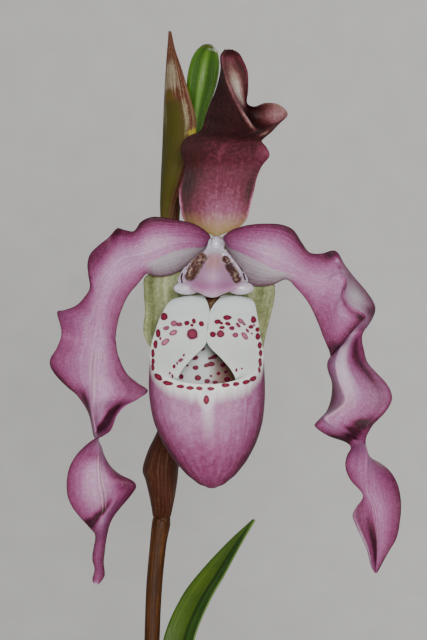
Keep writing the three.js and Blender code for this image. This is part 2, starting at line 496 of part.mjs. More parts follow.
// The dry sheath at the bud opens to the right, with the bud's stalk leaving it.
const SHEATH = [
  [[6, -1, 404], [8.6, -3.9, 404], [8.6, 3.9, 404], [-1.2, -1.4, 0], [-1.2, 1.4, 0]],
  [[5.6, -1.4, 412], [10.2, -5, 412], [10, 3.6, 412], [-1.4, -2, 0], [-1.4, 2, 0]],
  [[5.8, -2, 420], [13.4, -8.8, 421], [11.2, 3, 420], [-1.5, -2.6, 0], [-1.4, 2, 0]],
  [[6.2, -2.6, 428], [16, -11, 429], [12.6, 1.8, 428], [-1.3, -2.6, 0], [-1.4, 2, 0]],
  [[6.5, -2.8, 436], [16.6, -10.8, 437], [12.6, 0.8, 436], [-1.1, -2.2, 0], [-1.1, 1.6, 0]],
  [[6.8, -2.8, 444], [14.5, -9.8, 445], [12.2, 0, 444], [-0.8, -1.6, 0], [-0.9, 1.2, 0]],
  [[7.2, -2.8, 452], [12.5, -7.8, 452], [11, -0.8, 452], [-0.5, -1, 0], [-0.5, 0.8, 0]],
  [[7.8, -2.8, 460], [9.9, -4, 460], [9.4, -2, 460]],
  [[8.2, -2.8, 465.4], [8.8, -3, 465.3], [8.7, -2.5, 465.3]],
];
// The small sheath low on the scape, wrapped close round it.
const SCAPE_BRACT = [
  [[-3, 0, 202], [0.8, -3.8, 202], [0.8, 3.8, 202], [-1.3, -1.1, 0], [-1.3, 1.1, 0]],
  [[-3.2, 0, 214], [1.2, -3.9, 213], [1.2, 3.9, 213], [-1.3, -1.1, 0], [-1.3, 1.1, 0]],
  [[-3, 0, 226], [0.4, -3.2, 224], [0.4, 3.2, 224], [-1, -1, 0], [-1, 1, 0]],
  [[-2.4, 0, 236], [-1.4, -0.8, 235.6], [-1.4, 0.8, 235.6]],
];

// ---------------------------------------------------------------- leaves
// Leaves in the fan's plane: [distance out, height] along the keel, at equal steps of length.
// The swing carries a leaf's tip sideways out of that plane.
const LEAVES = [
  { name: 'leaf_flower_side', side: 1, width: 8, swing: 0,
    keel: [[5.5, PLANT_FOOT], [6, 140], [7.5, 190], [10, 235], [17, 273.6], [30, 293], [45.8, 310.4]] },
  { name: 'leaf_right_2', side: 1, width: 17, swing: -16,
    keel: [[9, PLANT_FOOT], [12, 140], [22, 186], [48, 226], [90, 246], [135, 247], [172, 233]] },
  { name: 'leaf_right_3', side: 1, width: 18, swing: 20,
    keel: [[12.5, PLANT_FOOT + 0.3], [18, 130], [36, 170], [70, 202], [115, 218], [158, 212], [196, 190]] },
  { name: 'leaf_right_4', side: 1, width: 15, swing: -10,
    keel: [[16, PLANT_FOOT + 0.5], [26, 118], [52, 142], [92, 156], [135, 152], [172, 134]] },
  { name: 'leaf_left_1', side: -1, width: 16, swing: 18,
    keel: [[5.5, PLANT_FOOT], [8, 140], [16, 190], [38, 236], [76, 260], [118, 257], [152, 238]] },
  { name: 'leaf_left_2', side: -1, width: 18, swing: -14,
    keel: [[9, PLANT_FOOT], [14, 135], [28, 180], [60, 216], [105, 234], [150, 226], [186, 202]] },
  { name: 'leaf_left_3', side: -1, width: 17, swing: 24,
    keel: [[12.5, PLANT_FOOT + 0.3], [20, 125], [42, 160], [80, 186], [125, 194], [168, 180], [198, 156]] },
  { name: 'leaf_left_4', side: -1, width: 14, swing: -20,
    keel: [[16, PLANT_FOOT + 0.6], [28, 115], [56, 132], [95, 140], [130, 133], [158, 114]] },
];
// Along a leaf: [share of the full half width, fold in degrees].
const LEAF_FORM = [[0.72, 10], [0.8, 18], [0.92, 24], [1, 24], [0.98, 22], [0.78, 22], [0.06, 26]];

function leafStations({ side, width, swing, keel }) {
  const out = [Math.cos(radians(FAN_TURN)) * side, Math.sin(radians(FAN_TURN)) * side, 0];
  const flank = cross([0, 0, 1], out);
  const stations = [];
  const count = 12;
  for (let i = 0; i <= count; i++) {
    const t = i / count;
    const [r, z] = sample(keel, t);
    const before = sample(keel, t - 0.02);
    const after = sample(keel, t + 0.02);
    const rise = unit(add(scale(out, after[0] - before[0]), [0, 0, after[1] - before[1]]));
    const inner = cross(rise, flank);
    const facing = scale(inner, dot(inner, sub([0, 0, 1], out)) < 0 ? -1 : 1);
    const [share, fold] = sample(LEAF_FORM, t);
    const spread = scale(flank, share * width * Math.cos(radians(fold)));
    const lift = scale(facing, share * width * Math.sin(radians(fold)));
    const mid = add(add(scale(out, r), [0, 0, z]), scale(flank, swing * t * t));
    const bow = scale(facing, -0.12 * share * width);
    stations.push([mid, add(sub(mid, spread), lift), add(add(mid, spread), lift), bow, bow]);
  }
  return stations;
}

// ---------------------------------------------------------------- rootstock, mix and pot
function rootstock(spare) {
  const top = PLANT_FOOT - GAP + spare;
  const stock = [
    [0, 66 - spare], [6 + spare, 68 - spare], [12 + spare, 80], [18 + spare, 88], [19.4 + spare, 93],
    [18.6 + spare, top], [0, top],
  ].map(([r, z]) => new THREE.Vector2(r, z));
  const pieces = [turned(stock, 20)];
  const roots = 5;
  for (let i = 0; i < roots; i++) {
    const turn = 2 * Math.PI * (i + 0.3) / roots;
    const out = [Math.cos(turn), Math.sin(turn)];
    const reach = 24 + 5 * (i % 3);
    const depth = 20 + 7 * (i % 2);
    pieces.push(stem([
      [8 * out[0], 8 * out[1], 82, 2 + spare],
      [0.6 * reach * out[0], 0.6 * reach * out[1], 70 - depth * 0.2, 1.9 + spare],
      [0.9 * reach * out[0], 0.9 * reach * out[1], 70 - depth * 0.6, 1.8 + spare],
      [reach * out[0], reach * out[1], 70 - depth - spare, 1.3 + spare],
    ], { along: 4, sides: 6 }));
  }
  return join(pieces);
}

function turned(profile, segments) {
  const geometry = new THREE.LatheGeometry(profile, segments);
  geometry.rotateX(Math.PI / 2);
  return geometry;
}

// A seeded draw of numbers from 0 to 1, so that the bark chips fall alike each time.
function makeDraw(seed) {
  let state = seed;
  return () => {
    state = (state * 1664525 + 1013904223) % 4294967296;
    return state / 4294967296;
  };
}

function potRadius(z) {
  return POT.bottom + (POT.top - POT.bottom) * z / POT.height;
}

function pottingMix() {
  const inner = (z) => potRadius(z) - POT.wall - GAP;
  const floor = POT.floor + GAP;
  const heap = turned([[0, floor], [inner(floor), floor], [inner(MIX_TOP - 4), MIX_TOP - 4],
    [40, MIX_TOP], [0, MIX_TOP + 1]].map(([r, z]) => new THREE.Vector2(r, z)), 28);
  const draw = makeDraw(7);
  const chips = [];
  const rows = [[46, 12], [37, 9], [29, 6]];
  for (const [radius, count] of rows) {
    for (let i = 0; i < count; i++) {
      chips.push(barkChip(radius, 2 * Math.PI * (i + 0.7 * draw()) / count, draw));
    }
  }
  const pitLine = [[0, 90], [PIT, 90], [PIT, 130], [0, 130]].map(([r, z]) => new THREE.Vector2(r, z));
  const pit = turned(pitLine, 24);
  const filled = [heap, ...chips].map(toSolid).reduce((sum, piece) => sum.add(piece));
  return fromSolid(filled.subtract(toSolid(pit)).subtract(toSolid(rootstock(GAP))));
}

function barkChip(radius, turn, draw) {
  const length = 8 + 5 * draw();
  const chip = new THREE.BoxGeometry(length, 5 + 3 * draw(), 3.4 + 1.6 * draw());
  chip.rotateX(0.7 * (draw() - 0.5));
  chip.rotateY(0.5 * (draw() - 0.5));
  chip.rotateZ(Math.PI * draw());
  chip.translate(radius * Math.cos(turn), radius * Math.sin(turn), MIX_TOP - 0.6 + 1.6 * draw());
  return chip;
}

function pot() {
  const { height, top, bottom, wall, floor, rim, lip } = POT;
  const shell = turned([
    [0, 0], [bottom - 1.5, 0], [bottom, 1.5], [potRadius(height - rim), height - rim],
    [top + lip, height - rim], [top + lip, height - 1], [top + lip - 1, height],
    [top - wall + 0.5, height], [top - wall, height - 0.5], [potRadius(floor) - wall, floor], [0, floor],
  ].map(([r, z]) => new THREE.Vector2(r, z)), 42);
  const holes = 6;
  let solid = toSolid(shell);
  for (let i = 0; i < holes; i++) {
    const drain = new THREE.CylinderGeometry(4.5, 4.5, 12, 10);
    drain.rotateX(Math.PI / 2);
    const turn = 2 * Math.PI * i / holes;
    drain.translate(27 * Math.cos(turn), 27 * Math.sin(turn), 1);
    solid = solid.subtract(toSolid(drain));
  }
  return fromSolid(solid);
}

// ---------------------------------------------------------------- the whole plant
const whole = new THREE.Group();
const flower = new THREE.Group();
flower.position.set(...FLOWER);
whole.add(flower);

function place(group, name, geometry, color, roughness = 0.6) {
  const mesh = new THREE.Mesh(geometry, new THREE.MeshStandardMaterial({ color, roughness, metalness: 0 }));
  mesh.name = name;
  group.add(mesh);
}

const petalForm = { along: 80, across: 6, thickness: 0.7 };
place(flower, 'dorsal_sepal', blade(DORSAL, { along: 40, across: 8, thickness: 0.8 }), COLOUR.dorsal);
place(flower, 'synsepal', blade(SYNSEPAL, { along: 16, across: 6, thickness: 0.8 }), COLOUR.sepal);
place(flower, 'petal_left', blade(PETAL_LEFT, petalForm), COLOUR.petal);
place(flower, 'petal_right', blade(PETAL_RIGHT, petalForm), COLOUR.petal);
place(flower, 'pouch', pouch({ around: 36, down: 9, flap: 2 }), COLOUR.pouch);
place(flower, 'column', column(), COLOUR.column, 0.35);
place(whole, 'ovary', stem(OVARY, { along: 14, sides: 12, ribs: 6, depth: 0.06 }), COLOUR.ovary);
place(whole, 'scape', stem(SCAPE, { along: 34, sides: 10 }), COLOUR.scape);
place(whole, 'scape_bract', blade(SCAPE_BRACT, { along: 6, across: 8, thickness: 0.7 }), COLOUR.bract);
place(whole, 'floral_bract', blade(FLORAL_BRACT, { along: 12, across: 6, thickness: 0.7 }), COLOUR.bract);
place(whole, 'bud_sheath', blade(SHEATH, { along: 14, across: 6, thickness: 0.7 }), COLOUR.sheath);
place(whole, 'bud', stem(BUD, { along: 16, sides: 18, ribs: 6, depth: 0.05 }), COLOUR.bud);
for (const leaf of LEAVES) {
  place(whole, leaf.name, blade(leafStations(leaf), { along: 15, across: 4, thickness: 1.1 }), COLOUR.leaf);
}
place(whole, 'rootstock', rootstock(0), COLOUR.root, 0.9);
place(whole, 'potting_mix', pottingMix(), COLOUR.mix, 0.95);
place(whole, 'pot', pot(), COLOUR.pot, 0.45);

export default whole;
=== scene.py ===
"""A potted phragmipedium orchid in flower: the looks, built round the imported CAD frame.

Lengths in the tables are millimetres; meshes are made in metres. The flower's parts are given
in the flower's own frame: x to the right, y away from the viewer, z up.
"""
import math
import bmesh
import bpy
import numpy as np
from mathutils import Euler, Matrix, Vector


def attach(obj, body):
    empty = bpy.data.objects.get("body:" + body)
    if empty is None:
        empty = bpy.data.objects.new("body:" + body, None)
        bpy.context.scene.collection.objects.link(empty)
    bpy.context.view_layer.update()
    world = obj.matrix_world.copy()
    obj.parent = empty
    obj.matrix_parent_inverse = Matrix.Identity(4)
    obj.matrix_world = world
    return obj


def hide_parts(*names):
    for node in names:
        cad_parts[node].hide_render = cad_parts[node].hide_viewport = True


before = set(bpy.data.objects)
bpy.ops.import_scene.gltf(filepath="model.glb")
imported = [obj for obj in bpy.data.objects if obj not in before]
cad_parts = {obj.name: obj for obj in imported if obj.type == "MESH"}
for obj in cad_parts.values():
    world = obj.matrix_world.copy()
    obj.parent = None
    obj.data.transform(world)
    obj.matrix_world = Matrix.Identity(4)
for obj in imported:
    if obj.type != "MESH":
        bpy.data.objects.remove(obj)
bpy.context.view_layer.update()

MM = 0.001
FLOWER = np.array([23.0, -30.0, 400.0])    # middle of the flower, where its parts meet
HERE = np.zeros(3)                         # for parts given in the plant's own frame
POUCH_MIDDLE = FLOWER + [-3.0, 0, 0]

# ---------------------------------------------------------------- shapes
# A blade is a list of stations from foot to tip. Each holds its middle, left edge and right
# edge, and then how far the left and the right half bulge, where they do.
DORSAL = [
    [[-0.3, 4.6, 0.9], [-1.1, 4.6, 0.9], [0.7, 4.6, 0.9]],
    [[-0.1, 4.5, 2.9], [-6.3, 4, 2.9], [6.3, 4, 3.2]],
    [[0, 4, 5.9], [-9.9, 3.2, 5.5], [9, 3.2, 5.8]],
    [[0.2, 3.6, 9.5], [-11.1, 2.6, 9.4], [10.2, 2.4, 9.4]],
    [[0.5, 3, 14], [-11.4, 2, 14.2], [11.1, 2, 13.9]],
    [[0.8, 2, 17.8], [-10.5, 2.4, 18.1], [12, 1, 18.1]],
    [[1.1, 1, 21.7], [-9.8, 1.4, 21.7], [13.5, 0, 21.6]],
    [[1.5, -1, 24.5], [-10.5, -0.5, 24.6], [15.7, -2, 24.5]],
    [[2.4, -2.5, 26.8], [-10.9, -2, 26.9], [14.9, -3, 26.8]],
    [[4.2, -4, 28.5], [-9.9, -3, 29.2], [13.4, -4, 28.6]],
    [[6.8, -6, 29.8], [-7.5, -4, 30.7], [14, -5, 29.6]],
    [[9.5, -9, 30.6], [-5.4, -5, 31.5], [16.1, -6, 31.3]],
    [[11.2, -12, 31.3], [-4.2, -6, 33.1], [18.7, -7, 33.9], [0, 0, 0], [0, 2, 0]],
    [[10.3, -14, 32.4], [-3.6, -7, 35.1], [20.9, -8, 36.5], [0, 0, 0], [-1, 4.5, -2]],
    [[9.1, -15.5, 34.1], [-3.1, -8, 36.5], [18.4, -7, 39.3], [0, 0, 0], [-1.5, 6.5, -2.5]],
    [[7.9, -16.5, 35.7], [-2.5, -9, 38.2], [14.5, -7, 39.8], [0, 0, 0], [-1, 7, -2]],
    [[6.7, -17, 37.5], [-1.8, -10, 39.9], [11, -8, 38.6], [0, 0, 0], [0, 6, 0]],
    [[5.5, -17.5, 39.5], [-0.9, -11, 41.8], [8.7, -11, 39.5], [0, 0, 0], [1, 4, 0]],
    [[4.4, -18, 41.7], [0, -12.5, 44.3], [9, -13, 42.5], [0, 0, 0], [0.6, 3, 0]],
    [[3.2, -18.5, 44.6], [0.7, -14, 46.8], [9.1, -14, 46], [0, 0, 0], [0.5, 2.6, 0]],
    [[2.3, -19, 47.5], [1.1, -16, 49.3], [8.8, -15, 48.8], [0, 0, 0], [0.4, 2.4, 0]],
    [[1.7, -19.5, 50.1], [1, -18, 51.1], [7.7, -16, 51.3], [0, 0, 0], [0, 2.4, 0]],
    [[1.6, -20, 52.3], [1.1, -19.3, 52.7], [6.4, -17, 53.4], [0, 0, 0], [0, 2, 0]],
    [[2.6, -19.5, 54.1], [2.3, -19.3, 54.5], [4.4, -18, 54.5]],
]

SYNSEPAL = [
    [[-0.5, 4.4, -4.4], [-1.5, 4.4, -4.4], [0.7, 4.4, -4.4]],
    [[-0.5, 5, -7], [-10.5, 4.8, -7], [8.5, 4.8, -7]],
    [[-1, 5.8, -11], [-21, 4.2, -11], [16, 4.6, -11]],
    [[-1, 6.5, -17], [-22, 2.4, -16], [17.5, 3.4, -15.5]],
    [[-1.5, 6.5, -23], [-21.6, 0.5, -22], [16.5, 0.5, -21.5]],
    [[-2, 6, -30.5], [-22, 0, -28.8], [14.5, 0, -29.5]],
    [[-2, 5, -37.5], [-18.5, 0, -35.2], [13, 0, -36]],
    [[-2.5, 3.5, -44], [-14.5, 0, -44], [8.5, 0, -44]],
    [[-2.5, 2, -49.5], [-9, 0, -49], [3.5, 0, -49]],
    [[-2.5, 1, -52.5], [-3.5, 1, -52.3], [-1.5, 1, -52.3]],
]

PETAL_LEFT = [
    [[-2.85, 2.8, -1.7], [-1.9, 2.8, 0.6], [-2.6, 3, -3.2]],
    [[-4.8, 0, -2.6], [-3.9, 2, 2.6], [-5.1, 3, -4.7]],
    [[-8.1, -1.5, -2.7], [-7.2, 1, 4.4], [-8.7, 3.5, -8.3]],
    [[-11.7, -2.5, -3.4], [-11.1, 0.5, 5.3], [-12.3, 3, -10.4]],
    [[-14.9, -3, -4.6], [-15.3, 0, 6], [-15.6, 2, -11.4]],
    [[-17.9, -3.5, -6.1], [-19.5, -0.5, 6.3], [-18.6, 0, -11.4]],
    [[-20.3, -3.8, -7], [-22.8, 0, 4.8], [-20.9, -2.5, -10.7]],
    [[-23.9, -4, -7.3], [-24.9, -1, 2.1], [-22.5, -3.5, -12.4]],
    [[-26.6, -4, -7.9], [-27.6, 0.5, 2.4], [-24.2, -3.5, -14.5]],
    [[-28.9, -4, -9.4], [-30.1, 1.5, 2.9], [-25.7, -3.5, -16.2]],
    [[-31.3, -4, -11.2], [-32, -1.5, 0.5], [-26.9, -3.5, -18]],
    [[-33.1, -4, -13.6], [-36, 0, -2.7], [-27.9, -3.5, -20.1]],
    [[-34, -4, -15.7], [-38.2, 1, -5.1], [-28.7, -3.5, -22.2]],
    [[-34.6, -4, -17.7], [-38.9, 0.5, -8.4], [-29.3, -3, -24]],
    [[-35.1, -4, -19.5], [-38.3, -1.5, -12.3], [-29.7, -3, -25.8]],
    [[-35.4, -4, -21.3], [-38, -2.5, -15], [-30, -3, -27.3]],
    [[-35.5, -4, -23.1], [-40.1, -2, -18.3], [-30.2, -3, -28.8]],
    [[-35.7, -4, -24.6], [-42.7, 1, -20.5], [-30.3, -3, -30]],
    [[-35.8, -4, -26.4], [-46.1, 2.5, -21.7], [-30.2, -3, -31.2]],
    [[-35.9, -4.2, -28.2], [-48.1, 2, -22.3], [-30, -3.2, -32.4]],
    [[-36.1, -4.2, -30], [-47, -1.5, -25.8], [-29.9, -3.2, -33.6]],
    [[-36.2, -4.4, -31.8], [-46.5, -3, -29.1], [-29.6, -3.4, -34.8]],
    [[-36.4, -4.6, -33.8], [-47.9, -1, -32.7], [-29.1, -3.6, -36.2]],
    [[-36.7, -4.8, -35.9], [-50.1, 2, -36.3], [-28.5, -3.8, -37.7]],
    [[-36.9, -5, -38.3], [-49.9, 1.5, -39], [-27.6, -4, -39.5]],
    [[-37.1, -5.2, -40.7], [-47.9, -1, -41.7], [-26.2, -4.2, -41.3]],
    [[-37.2, -5.4, -43.1], [-44.9, -2, -44.6], [-23.6, -4.5, -43.4]],
    [[-37.4, -5.6, -45.4], [-42.2, -1, -46.8], [-20.6, -5, -45.7]],
    [[-37.3, -5.8, -48.1], [-40.2, 0, -49.5], [-23.5, -6, -48.1]],
    [[-37.2, -5.6, -50.8], [-38.7, 0.5, -52.2], [-27.3, -7, -50.1], [0, 0, 0], [0, 3.5, 0]],
    [[-36.9, -5, -53.5], [-37.9, 1, -54.9], [-29.7, -8, -52.8], [0, 0, 0], [0, 4, 0]],
    [[-36.5, -4, -55.9], [-37.5, 2, -57.4], [-30.7, -9, -55.4], [0, 0, 0], [-1, 4, 0]],
    [[-36.1, -4, -58], [-37.1, 3, -59.5], [-31.7, -10, -57.4], [0, 0, 0], [-1, 2, 0]],
    [[-35.5, -4, -59.8], [-36, 3.5, -61.1], [-33.9, -10.5, -58.9], [0, 0, 0], [-0.6, 0, 0]],
    [[-35.5, -4.5, -61.3], [-34.9, 2.5, -62.5], [-36.7, -10, -60.1]],
    [[-35.3, -5, -63.3], [-34.2, 1, -64.6], [-40, -9, -62.8]],
    [[-35.1, -5.5, -65.7], [-33, -0.5, -66.9], [-42.3, -8, -65.5]],
    [[-35, -6, -68], [-31.4, -2, -68.9], [-43.8, -7, -68.3]],
    [[-34.7, -6, -70.7], [-28.7, -3.5, -70.9], [-44.6, -6, -71.3]],
    [[-34.4, -6, -73.4], [-25, -5, -72.6], [-44.8, -5, -74.3]],
    [[-33.9, -5.5, -76.1], [-24.1, -6.5, -74.2], [-44.5, -4, -77.4], [0, 2, 0]],
    [[-33.7, -4.5, -78.6], [-25.8, -8, -76.8], [-43.2, -3, -80.5], [0, 3, 0]],
    [[-33.7, -3.5, -81], [-28.3, -9, -79.7], [-41.3, -2, -83.2], [0, 3, 0]],
    [[-34.4, -3, -83.4], [-30.5, -9.5, -82.5], [-39.4, -1, -85.4], [0, 2, 0]],
    [[-34.5, -3.5, -85.8], [-31.8, -9, -85], [-37.8, 0, -87.3], [0, 1, 0]],
    [[-34.6, -5, -88.3], [-32.6, -8, -88.1], [-36.3, -2, -88.9]],
    [[-35, -6, -90.9], [-33.1, -7.5, -91.1], [-36.5, -5, -91.3]],
    [[-35.2, -6.5, -93.6], [-33.4, -7.5, -93.8], [-37, -6, -93.9]],
    [[-35.2, -6.5, -96.2], [-33.7, -7.5, -96.4], [-37, -6, -96.3]],
    [[-35.1, -6.5, -98.6], [-33.5, -7.5, -98.5], [-36.3, -6, -98.7]],
    [[-35.2, -6.5, -100.7], [-33.4, -7, -100.6], [-36.9, -6, -101]],
    [[-35.7, -6.5, -102.3], [-34.6, -6.5, -102.5], [-37, -6.5, -102.2]],
    [[-36, -6.5, -103.2], [-35.5, -6.5, -103.2], [-36.4, -6.5, -103.1]],
]

PETAL_RIGHT = [
    [[2.85, 2.8, -1.6], [1.8, 2.8, 0.6], [2.6, 3, -3.2]],
    [[4.5, 0, -3], [4.8, 2, 2.6], [5.1, 3, -7.1]],
    [[8.7, -2, -4.9], [9.3, 1, 3.9], [9, 3, -13.5]],
    [[12.8, -3.5, -7], [14.4, 0, 4.3], [13.5, 1.5, -14.4]],
    [[16.7, -4, -9.1], [19.2, -0.5, 4], [17.4, 0, -13.7]],
    [[20.3, -4.5, -10.3], [22.8, -1, 2.4], [20.9, -2.5, -12.3]],
    [[23.8, -4.5, -11.5], [25.4, -1.5, -1.5], [23.6, -3.5, -15]],
    [[27.1, -4, -12.7], [27.8, -2, -4.4], [26, -3.5, -17.7]],
    [[30.1, -4, -13.9], [31.5, -1, -4.7], [27.8, -3, -20.4]],
    [[32.8, -4, -13.6], [34.4, -1.5, -3.8], [29, -3, -22.8]],
    [[35.4, -5, -11.2], [36.2, -1, -4.5], [29.9, -3, -24.9]],
    [[37.8, -6, -11.8], [38.2, 1, -7.8], [30.8, -3, -27]],
    [[38.2, -6.5, -13.9], [41.3, 4, -11.6], [31.5, -3, -29.1]],
    [[37.4, -7, -16.3], [44.8, 6, -15.5], [32.3, -3, -30.9]],
    [[38, -7.5, -18.7], [47.3, 7, -19.1], [32.9, -3, -32.4]],
    [[39.7, -8, -20.7], [47.9, 7, -21.6], [33.5, -3, -33.6]],
    [[42.4, -8, -22.2], [46.8, 5, -24.3], [33.8, -3, -34.8]],
    [[43.9, -8, -23.7], [45.1, 2, -26.7], [34.1, -2.5, -35.2]],
    [[41.9, -2, -25.5], [44.6, 2.5, -27.3], [35.5, 1, -33]],
    [[40.7, 3, -27.9], [44, 3, -28.5], [35.6, 3, -32.7]],
    [[39.1, 1, -30.9], [43.6, 2, -30.6], [35.2, 1, -33.6]],
    [[36.7, -4, -33.3], [44, 0, -33.3], [34.1, -1, -35.4]],
    [[35.3, -7.5, -37.1], [44.9, -1, -37], [32.9, -3, -37.7]],
    [[35.6, -8, -40.3], [47.3, -2, -40], [33.4, -2, -40.2]],
    [[36.4, -8.5, -43.6], [50.2, -3, -43.1], [34.4, -1, -42.9]],
    [[37.5, -8.8, -46.5], [51.9, -4, -46.1], [34.6, 0, -45.6]],
    [[37.6, -9, -48.6], [52, -5, -48.7], [34.3, 1, -48.3]],
    [[36.4, -9.5, -50.2], [50.3, -6, -51.7], [33.6, 1, -50.7]],
    [[34, -9.5, -52], [48.1, -6.5, -54], [32.6, 0, -52.5]],
    [[31.4, -9, -53.9], [46.3, -7, -55.8], [30.4, -4, -54.4]],
    [[36.5, -7, -56.7], [45.2, -6.5, -57.6], [29.1, -7, -56.2]],
    [[40.3, -4, -58.9], [44.5, -5.5, -59.3], [33.4, -4, -59.2]],
    [[42.2, -2, -60.8], [44.3, -4, -61], [38.6, -1, -61.1]],
    [[44, -6, -62.1], [44.7, -3, -63.1], [40, -3, -62.8]],
    [[44.4, -9, -64.6], [45.4, -3, -65.5], [38.7, -6, -64.8]],
    [[44.2, -10, -67.2], [48.1, -3, -67], [38.1, -7, -67.4]],
    [[44, -10, -69.8], [50.9, -4, -69], [38.6, -7.5, -70]],
    [[43.8, -10, -72.5], [52.9, -5, -71.7], [40, -8, -72.6]],
    [[43.8, -9.5, -74.9], [54.1, -6, -74.9], [42.2, -8.5, -74.8]],
    [[44.7, -9, -77.3], [54.6, -7, -78.4], [43.3, -8.5, -77.1]],
    [[46.2, -8.5, -79.7], [54.6, -7, -81.6], [41.5, -8, -79.8]],
    [[46.8, -8, -82.7], [54.3, -7, -84.6], [40.2, -8, -82.6]],
    [[47.2, -7, -86.1], [53.8, -6.5, -87.9], [41.2, -9, -85.5]],
    [[47.6, -6, -89.4], [52.9, -6, -90.6], [42.9, -9, -89.2]],
    [[47.6, -5, -92.8], [51.4, -6, -93], [44.4, -8.5, -92.5]],
    [[47.5, -5, -95.8], [50, -6, -95.4], [45.2, -7.5, -95.5]],
    [[47.4, -5, -98.2], [48.6, -6, -97.9], [45.9, -6.5, -98]],
    [[47.3, -5.5, -99.9], [47.7, -5.5, -99.8], [46.9, -5.5, -99.8]],
]

# Right half of the pouch's mouth, from the front to the back: [fold line, free edge of the flap].
MOUTH = [
    [[0, -38, -43], [0, -36.2, -44]],
    [[5.5, -37.2, -42.6], [5, -35.6, -43.4]],
    [[11, -34.5, -41.2], [8.4, -33.2, -42]],
    [[15, -30.5, -39], [7.4, -31.4, -39]],
    [[16.4, -26, -36], [4.6, -28, -35.6]],
    [[16.2, -21.5, -32], [0.5, -23.6, -31.2]],
    [[15.2, -17.5, -27.5], [0.35, -19.5, -26.4]],
    [[14.1, -14, -23], [0.35, -16, -22]],
    [[11.9, -11, -18.6], [2.2, -13, -18.4]],
    [[7, -8, -17.8], [3.8, -9.6, -17.8]],
    [[0, -6, -17.8], [0, -7.2, -17.8]],
]

# The bag below its rim, downwards: [height, half width, front, back, shift to the right].
BAG = [
    [-16, 12.5, -24, -6, 0], [-24, 14.6, -31, -5, 0], [-32, 16.2, -36, -4.6, 0],
    [-40, 16.8, -38, -4.8, 0], [-47, 16.8, -38.8, -5.6, 0.1], [-54, 15.8, -38.3, -7.6, 0.4],
    [-60, 13.6, -36.4, -11, 0.8], [-65.5, 10.4, -33.8, -15, 1.1], [-69.5, 7, -31, -18.6, 1.3],
    [-72.2, 3.6, -28, -21.6, 1.4], [-73.2, 1, -25.8, -23.8, 1.5],
]

SHIELD = [
    [[-0.4, -6.4, -0.6], [-2.4, -5.8, -0.8], [1.7, -5.8, -0.8]],
    [[-0.5, -8.2, -3.4], [-3.4, -7, -3.6], [2.2, -7, -3.6], [0, 0.4, 0], [0, 0.4, 0]],
    [[-0.6, -9.8, -5.4], [-5.6, -7.8, -5.2], [3.8, -7.8, -5.2], [0, 0.8, 0], [0, 0.8, 0]],
    [[-0.8, -11.4, -8], [-8.6, -8.8, -7.8], [6.2, -8.8, -7.8], [0, 1.2, 0], [0, 1.2, 0]],
    [[-1, -13.2, -11], [-10.9, -10.2, -11], [8.4, -10.2, -11], [0, 1, 0], [0, 1, 0]],
    [[-1.2, -14.6, -13.6], [-11.4, -11.6, -13.6], [9, -11.6, -13.6], [0, -0.2, 0], [0, -0.2, 0]],
    [[-1.3, -15.2, -15.6], [-8.4, -13.4, -15.2], [6, -13.4, -15.2], [0, -0.6, 0], [0, -0.6, 0]],
    [[-1.4, -15.2, -17], [-4.8, -14.6, -16.6], [2, -14.6, -16.6], [0, -0.3, 0], [0, -0.3, 0]],
    [[-1.4, -14.8, -17.6], [-2.6, -14.7, -17.5], [-0.2, -14.7, -17.5]],
]

# A stem is rows of [x, y, z, radius], and so are the ovary, the bud and the hub.
SCAPE = [
    [0, 0, 95.6, 3.3], [-0.4, 0, 130, 2.8], [-0.2, 0, 165, 2.6], [0.4, 0, 196, 2.6],
    [0.8, 0, 200, 3], [1, 0, 204, 2.5], [1.8, 0, 240, 2.4], [2.7, 0, 275, 2.4], [3.4, 0, 292, 2.5],
    [4.6, 0, 305, 2.6], [5.6, 0, 312, 2.9], [6.1, 0, 316, 2.4], [7, 0, 340, 2.2], [8.4, 0, 380, 2.1],
    [9.2, 0, 406, 2.1], [9.4, 0, 415, 2.5], [9.4, 0, 419, 1.9], [9.4, 0, 426, 0.9],
]

OVARY = [
    [6.2, -5, 318, 1.3], [6.6, -5.6, 323, 1.6], [8.6, -7.6, 340, 1.9], [12.4, -11, 360, 2.4],
    [16.4, -15, 378, 2.9], [20.4, -18.2, 391, 3.1], [22.8, -21.2, 397.8, 2.8], [23, -23.9, 398.4, 2.1],
]

BUD = [
    [10.8, -3.6, 417.5, 1], [13, -5, 421, 1.2], [15, -5.6, 427, 1.4], [16, -5.5, 433, 2.1],
    [16.5, -5.4, 437.5, 2.8], [17.1, -5.3, 442.2, 3.6], [17.9, -5.2, 446.9, 4.5], [18.7, -5.2, 451.5, 4.9],
    [19.6, -5.4, 456.2, 4.4], [20.4, -5.8, 459.3, 3], [20.8, -6.2, 460.6, 1.2],
    [20.9, -6.3, 461.0, 0.12],
]

